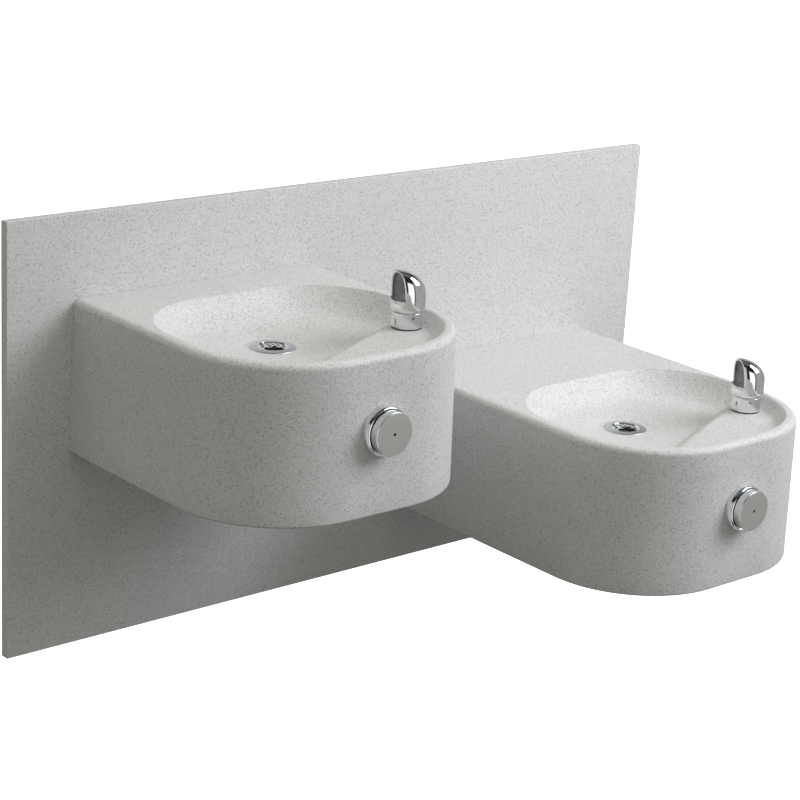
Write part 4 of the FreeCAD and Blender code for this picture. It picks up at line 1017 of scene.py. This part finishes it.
studioSizes = {"floorDown": 0.95, "floorHalf": 22.0}
keyColour = (0.93, 0.95, 1.0)
fillColour = {"Red": 0.99, "Green": 1.0, "Blue": 0.92}
cameraSizes = {"place": (-1.7554, -2.1387, 0.8566), "yaw": 40.92, "pitch": 17.68, "roll": 3.18, "lens": 100.2}


def makeFloor():
    half = studioSizes["floorHalf"]
    level = cadBox[0].z - studioSizes["floorDown"]
    mesh = bpy.data.meshes.new("floor")
    corners = [(-half, -half, level), (half, -half, level), (half, half, level), (-half, half, level)]
    mesh.from_pydata(corners, [], [(0, 1, 2, 3)])
    floor = bpy.data.objects.new("floor", mesh)
    bpy.context.scene.collection.objects.link(floor)
    material, tree = newMaterial("paleFloor")
    where = tree.node("ShaderNodeTexCoord", out="Object")
    cloud = tree.noise(where, 0.8, 2.0)
    surface(tree, {"Base Color": tree.blend(cloud, grey(0.90), grey(0.92)), "Roughness": 0.85,
                   "Emission Color": grey(1.0), "Emission Strength": 0.95})
    mesh.materials.append(material)
    floor.visible_glossy = floor.visible_diffuse = False


def makeWorld():
    world = bpy.data.worlds.new("studio")
    bpy.context.scene.world = world
    world.use_nodes = True
    world.node_tree.nodes.clear()
    tree = Tree(world.node_tree)
    ray = tree.node("ShaderNodeTexCoord", out="Generated")
    part = tree.node("ShaderNodeSeparateXYZ", None, {"Vector": ray})
    x, y, z = part, part.other("Y"), part.other("Z")
    yaw = math.radians(cameraSizes["yaw"])
    side = x * math.cos(yaw) - y * math.sin(yaw)
    near = -1.0 * (x * math.sin(yaw) + y * math.cos(yaw))
    turn = side.maths("ARCTAN2", side, near) * (180 / math.pi)
    rise = z.maths("ARCSINE", z) * (180 / math.pi)

    def band(value, low, high, soft):
        return tree.step(value, low - soft, low + soft) * tree.step(value, high - soft, high + soft, 1.0, 0.0)

    leftSide = tree.step(turn, -16.0, -12.0, 1.0, 0.0) * tree.step(turn, -95.0, -65.0, 0.35, 1.0)
    rightSide = tree.step(turn, 48.0, 54.0)
    card = band(turn, 6.0, 44.0, 1.5) * band(rise, -48.0, 14.0, 2.0)
    lowPart = tree.step(rise, 20.0, 32.0, 1.0, 0.0)
    ceiling = band(rise, 52.0, 91.0, 3.0)
    tone = (leftSide * 0.50 + rightSide * 0.37) * lowPart + card * 1.25 + ceiling * 0.12 + 0.02
    shown = tree.node("ShaderNodeCombineColor", None, {"Red": tone, "Green": tone, "Blue": tone})
    mirrored = tree.node("ShaderNodeBackground", None, {"Color": shown, "Strength": 1.0})
    soft = 0.09 + tree.step(rise, -18.0, 18.0, 0.0, 0.37) + tree.step(rise, 25.0, 80.0, 0.0, 0.50)
    spread = tree.node("ShaderNodeCombineColor", None, {name: soft * part for name, part in fillColour.items()})
    fill = tree.node("ShaderNodeBackground", None, {"Color": spread, "Strength": 1.0})
    white = tree.node("ShaderNodeBackground", None, {"Color": grey(1.0), "Strength": 1.1})
    path = tree.node("ShaderNodeLightPath", out="Is Camera Ray")
    lit = tree.node("ShaderNodeMixShader", None, {0: path.other("Is Glossy Ray"), 1: fill, 2: mirrored})
    whole = tree.node("ShaderNodeMixShader", None, {0: path, 1: lit, 2: white})
    tree.node("ShaderNodeOutputWorld", None, {"Surface": whole})


lightTable = {  # place, aim, width, height, watts
    "key": ((2.30, -2.50, 2.20), (0.0, -0.25, 0.05), 2.40, 2.40, 102.0),
    "wash": ((1.05, -1.00, 1.05), (0.48, 0.0, 0.25), 0.80, 0.80, 4.0),
}


def makeLights():
    for name, (place, aim, width, height, watts) in lightTable.items():
        light = bpy.data.lights.new(name, "AREA")
        light.shape, light.size, light.size_y, light.energy = "RECTANGLE", width, height, watts
        light.color = keyColour
        lamp = bpy.data.objects.new(name, light)
        lamp.location = place
        lamp.visible_glossy = name == "key"
        lamp.rotation_mode = "QUATERNION"
        lamp.rotation_quaternion = (Vector(aim) - Vector(place)).to_track_quat("-Z", "Y")
        bpy.context.scene.collection.objects.link(lamp)


def makeCamera():
    yaw, pitch, roll = (math.radians(cameraSizes[k]) for k in ("yaw", "pitch", "roll"))
    ahead = Vector((math.sin(yaw) * math.cos(pitch), math.cos(yaw) * math.cos(pitch), -math.sin(pitch)))
    level = Vector((math.cos(yaw), -math.sin(yaw), 0.0))
    up = level.cross(ahead)
    across = level * math.cos(roll) + up * math.sin(roll)
    upward = up * math.cos(roll) - level * math.sin(roll)
    lens = bpy.data.cameras.new("camera")
    lens.lens, lens.sensor_width = cameraSizes["lens"], 36.0
    lens.clip_end = 100.0
    camera = bpy.data.objects.new("camera", lens)
    camera.matrix_world = Matrix.Translation(cameraSizes["place"]) @ Matrix(
        (across, upward, -ahead)).transposed().to_4x4()
    bpy.context.scene.collection.objects.link(camera)
    bpy.context.scene.camera = camera


makeFloor()
makeWorld()
makeLights()
makeCamera()
bpy.context.scene.view_settings.view_transform = "Standard"
print("studio made")
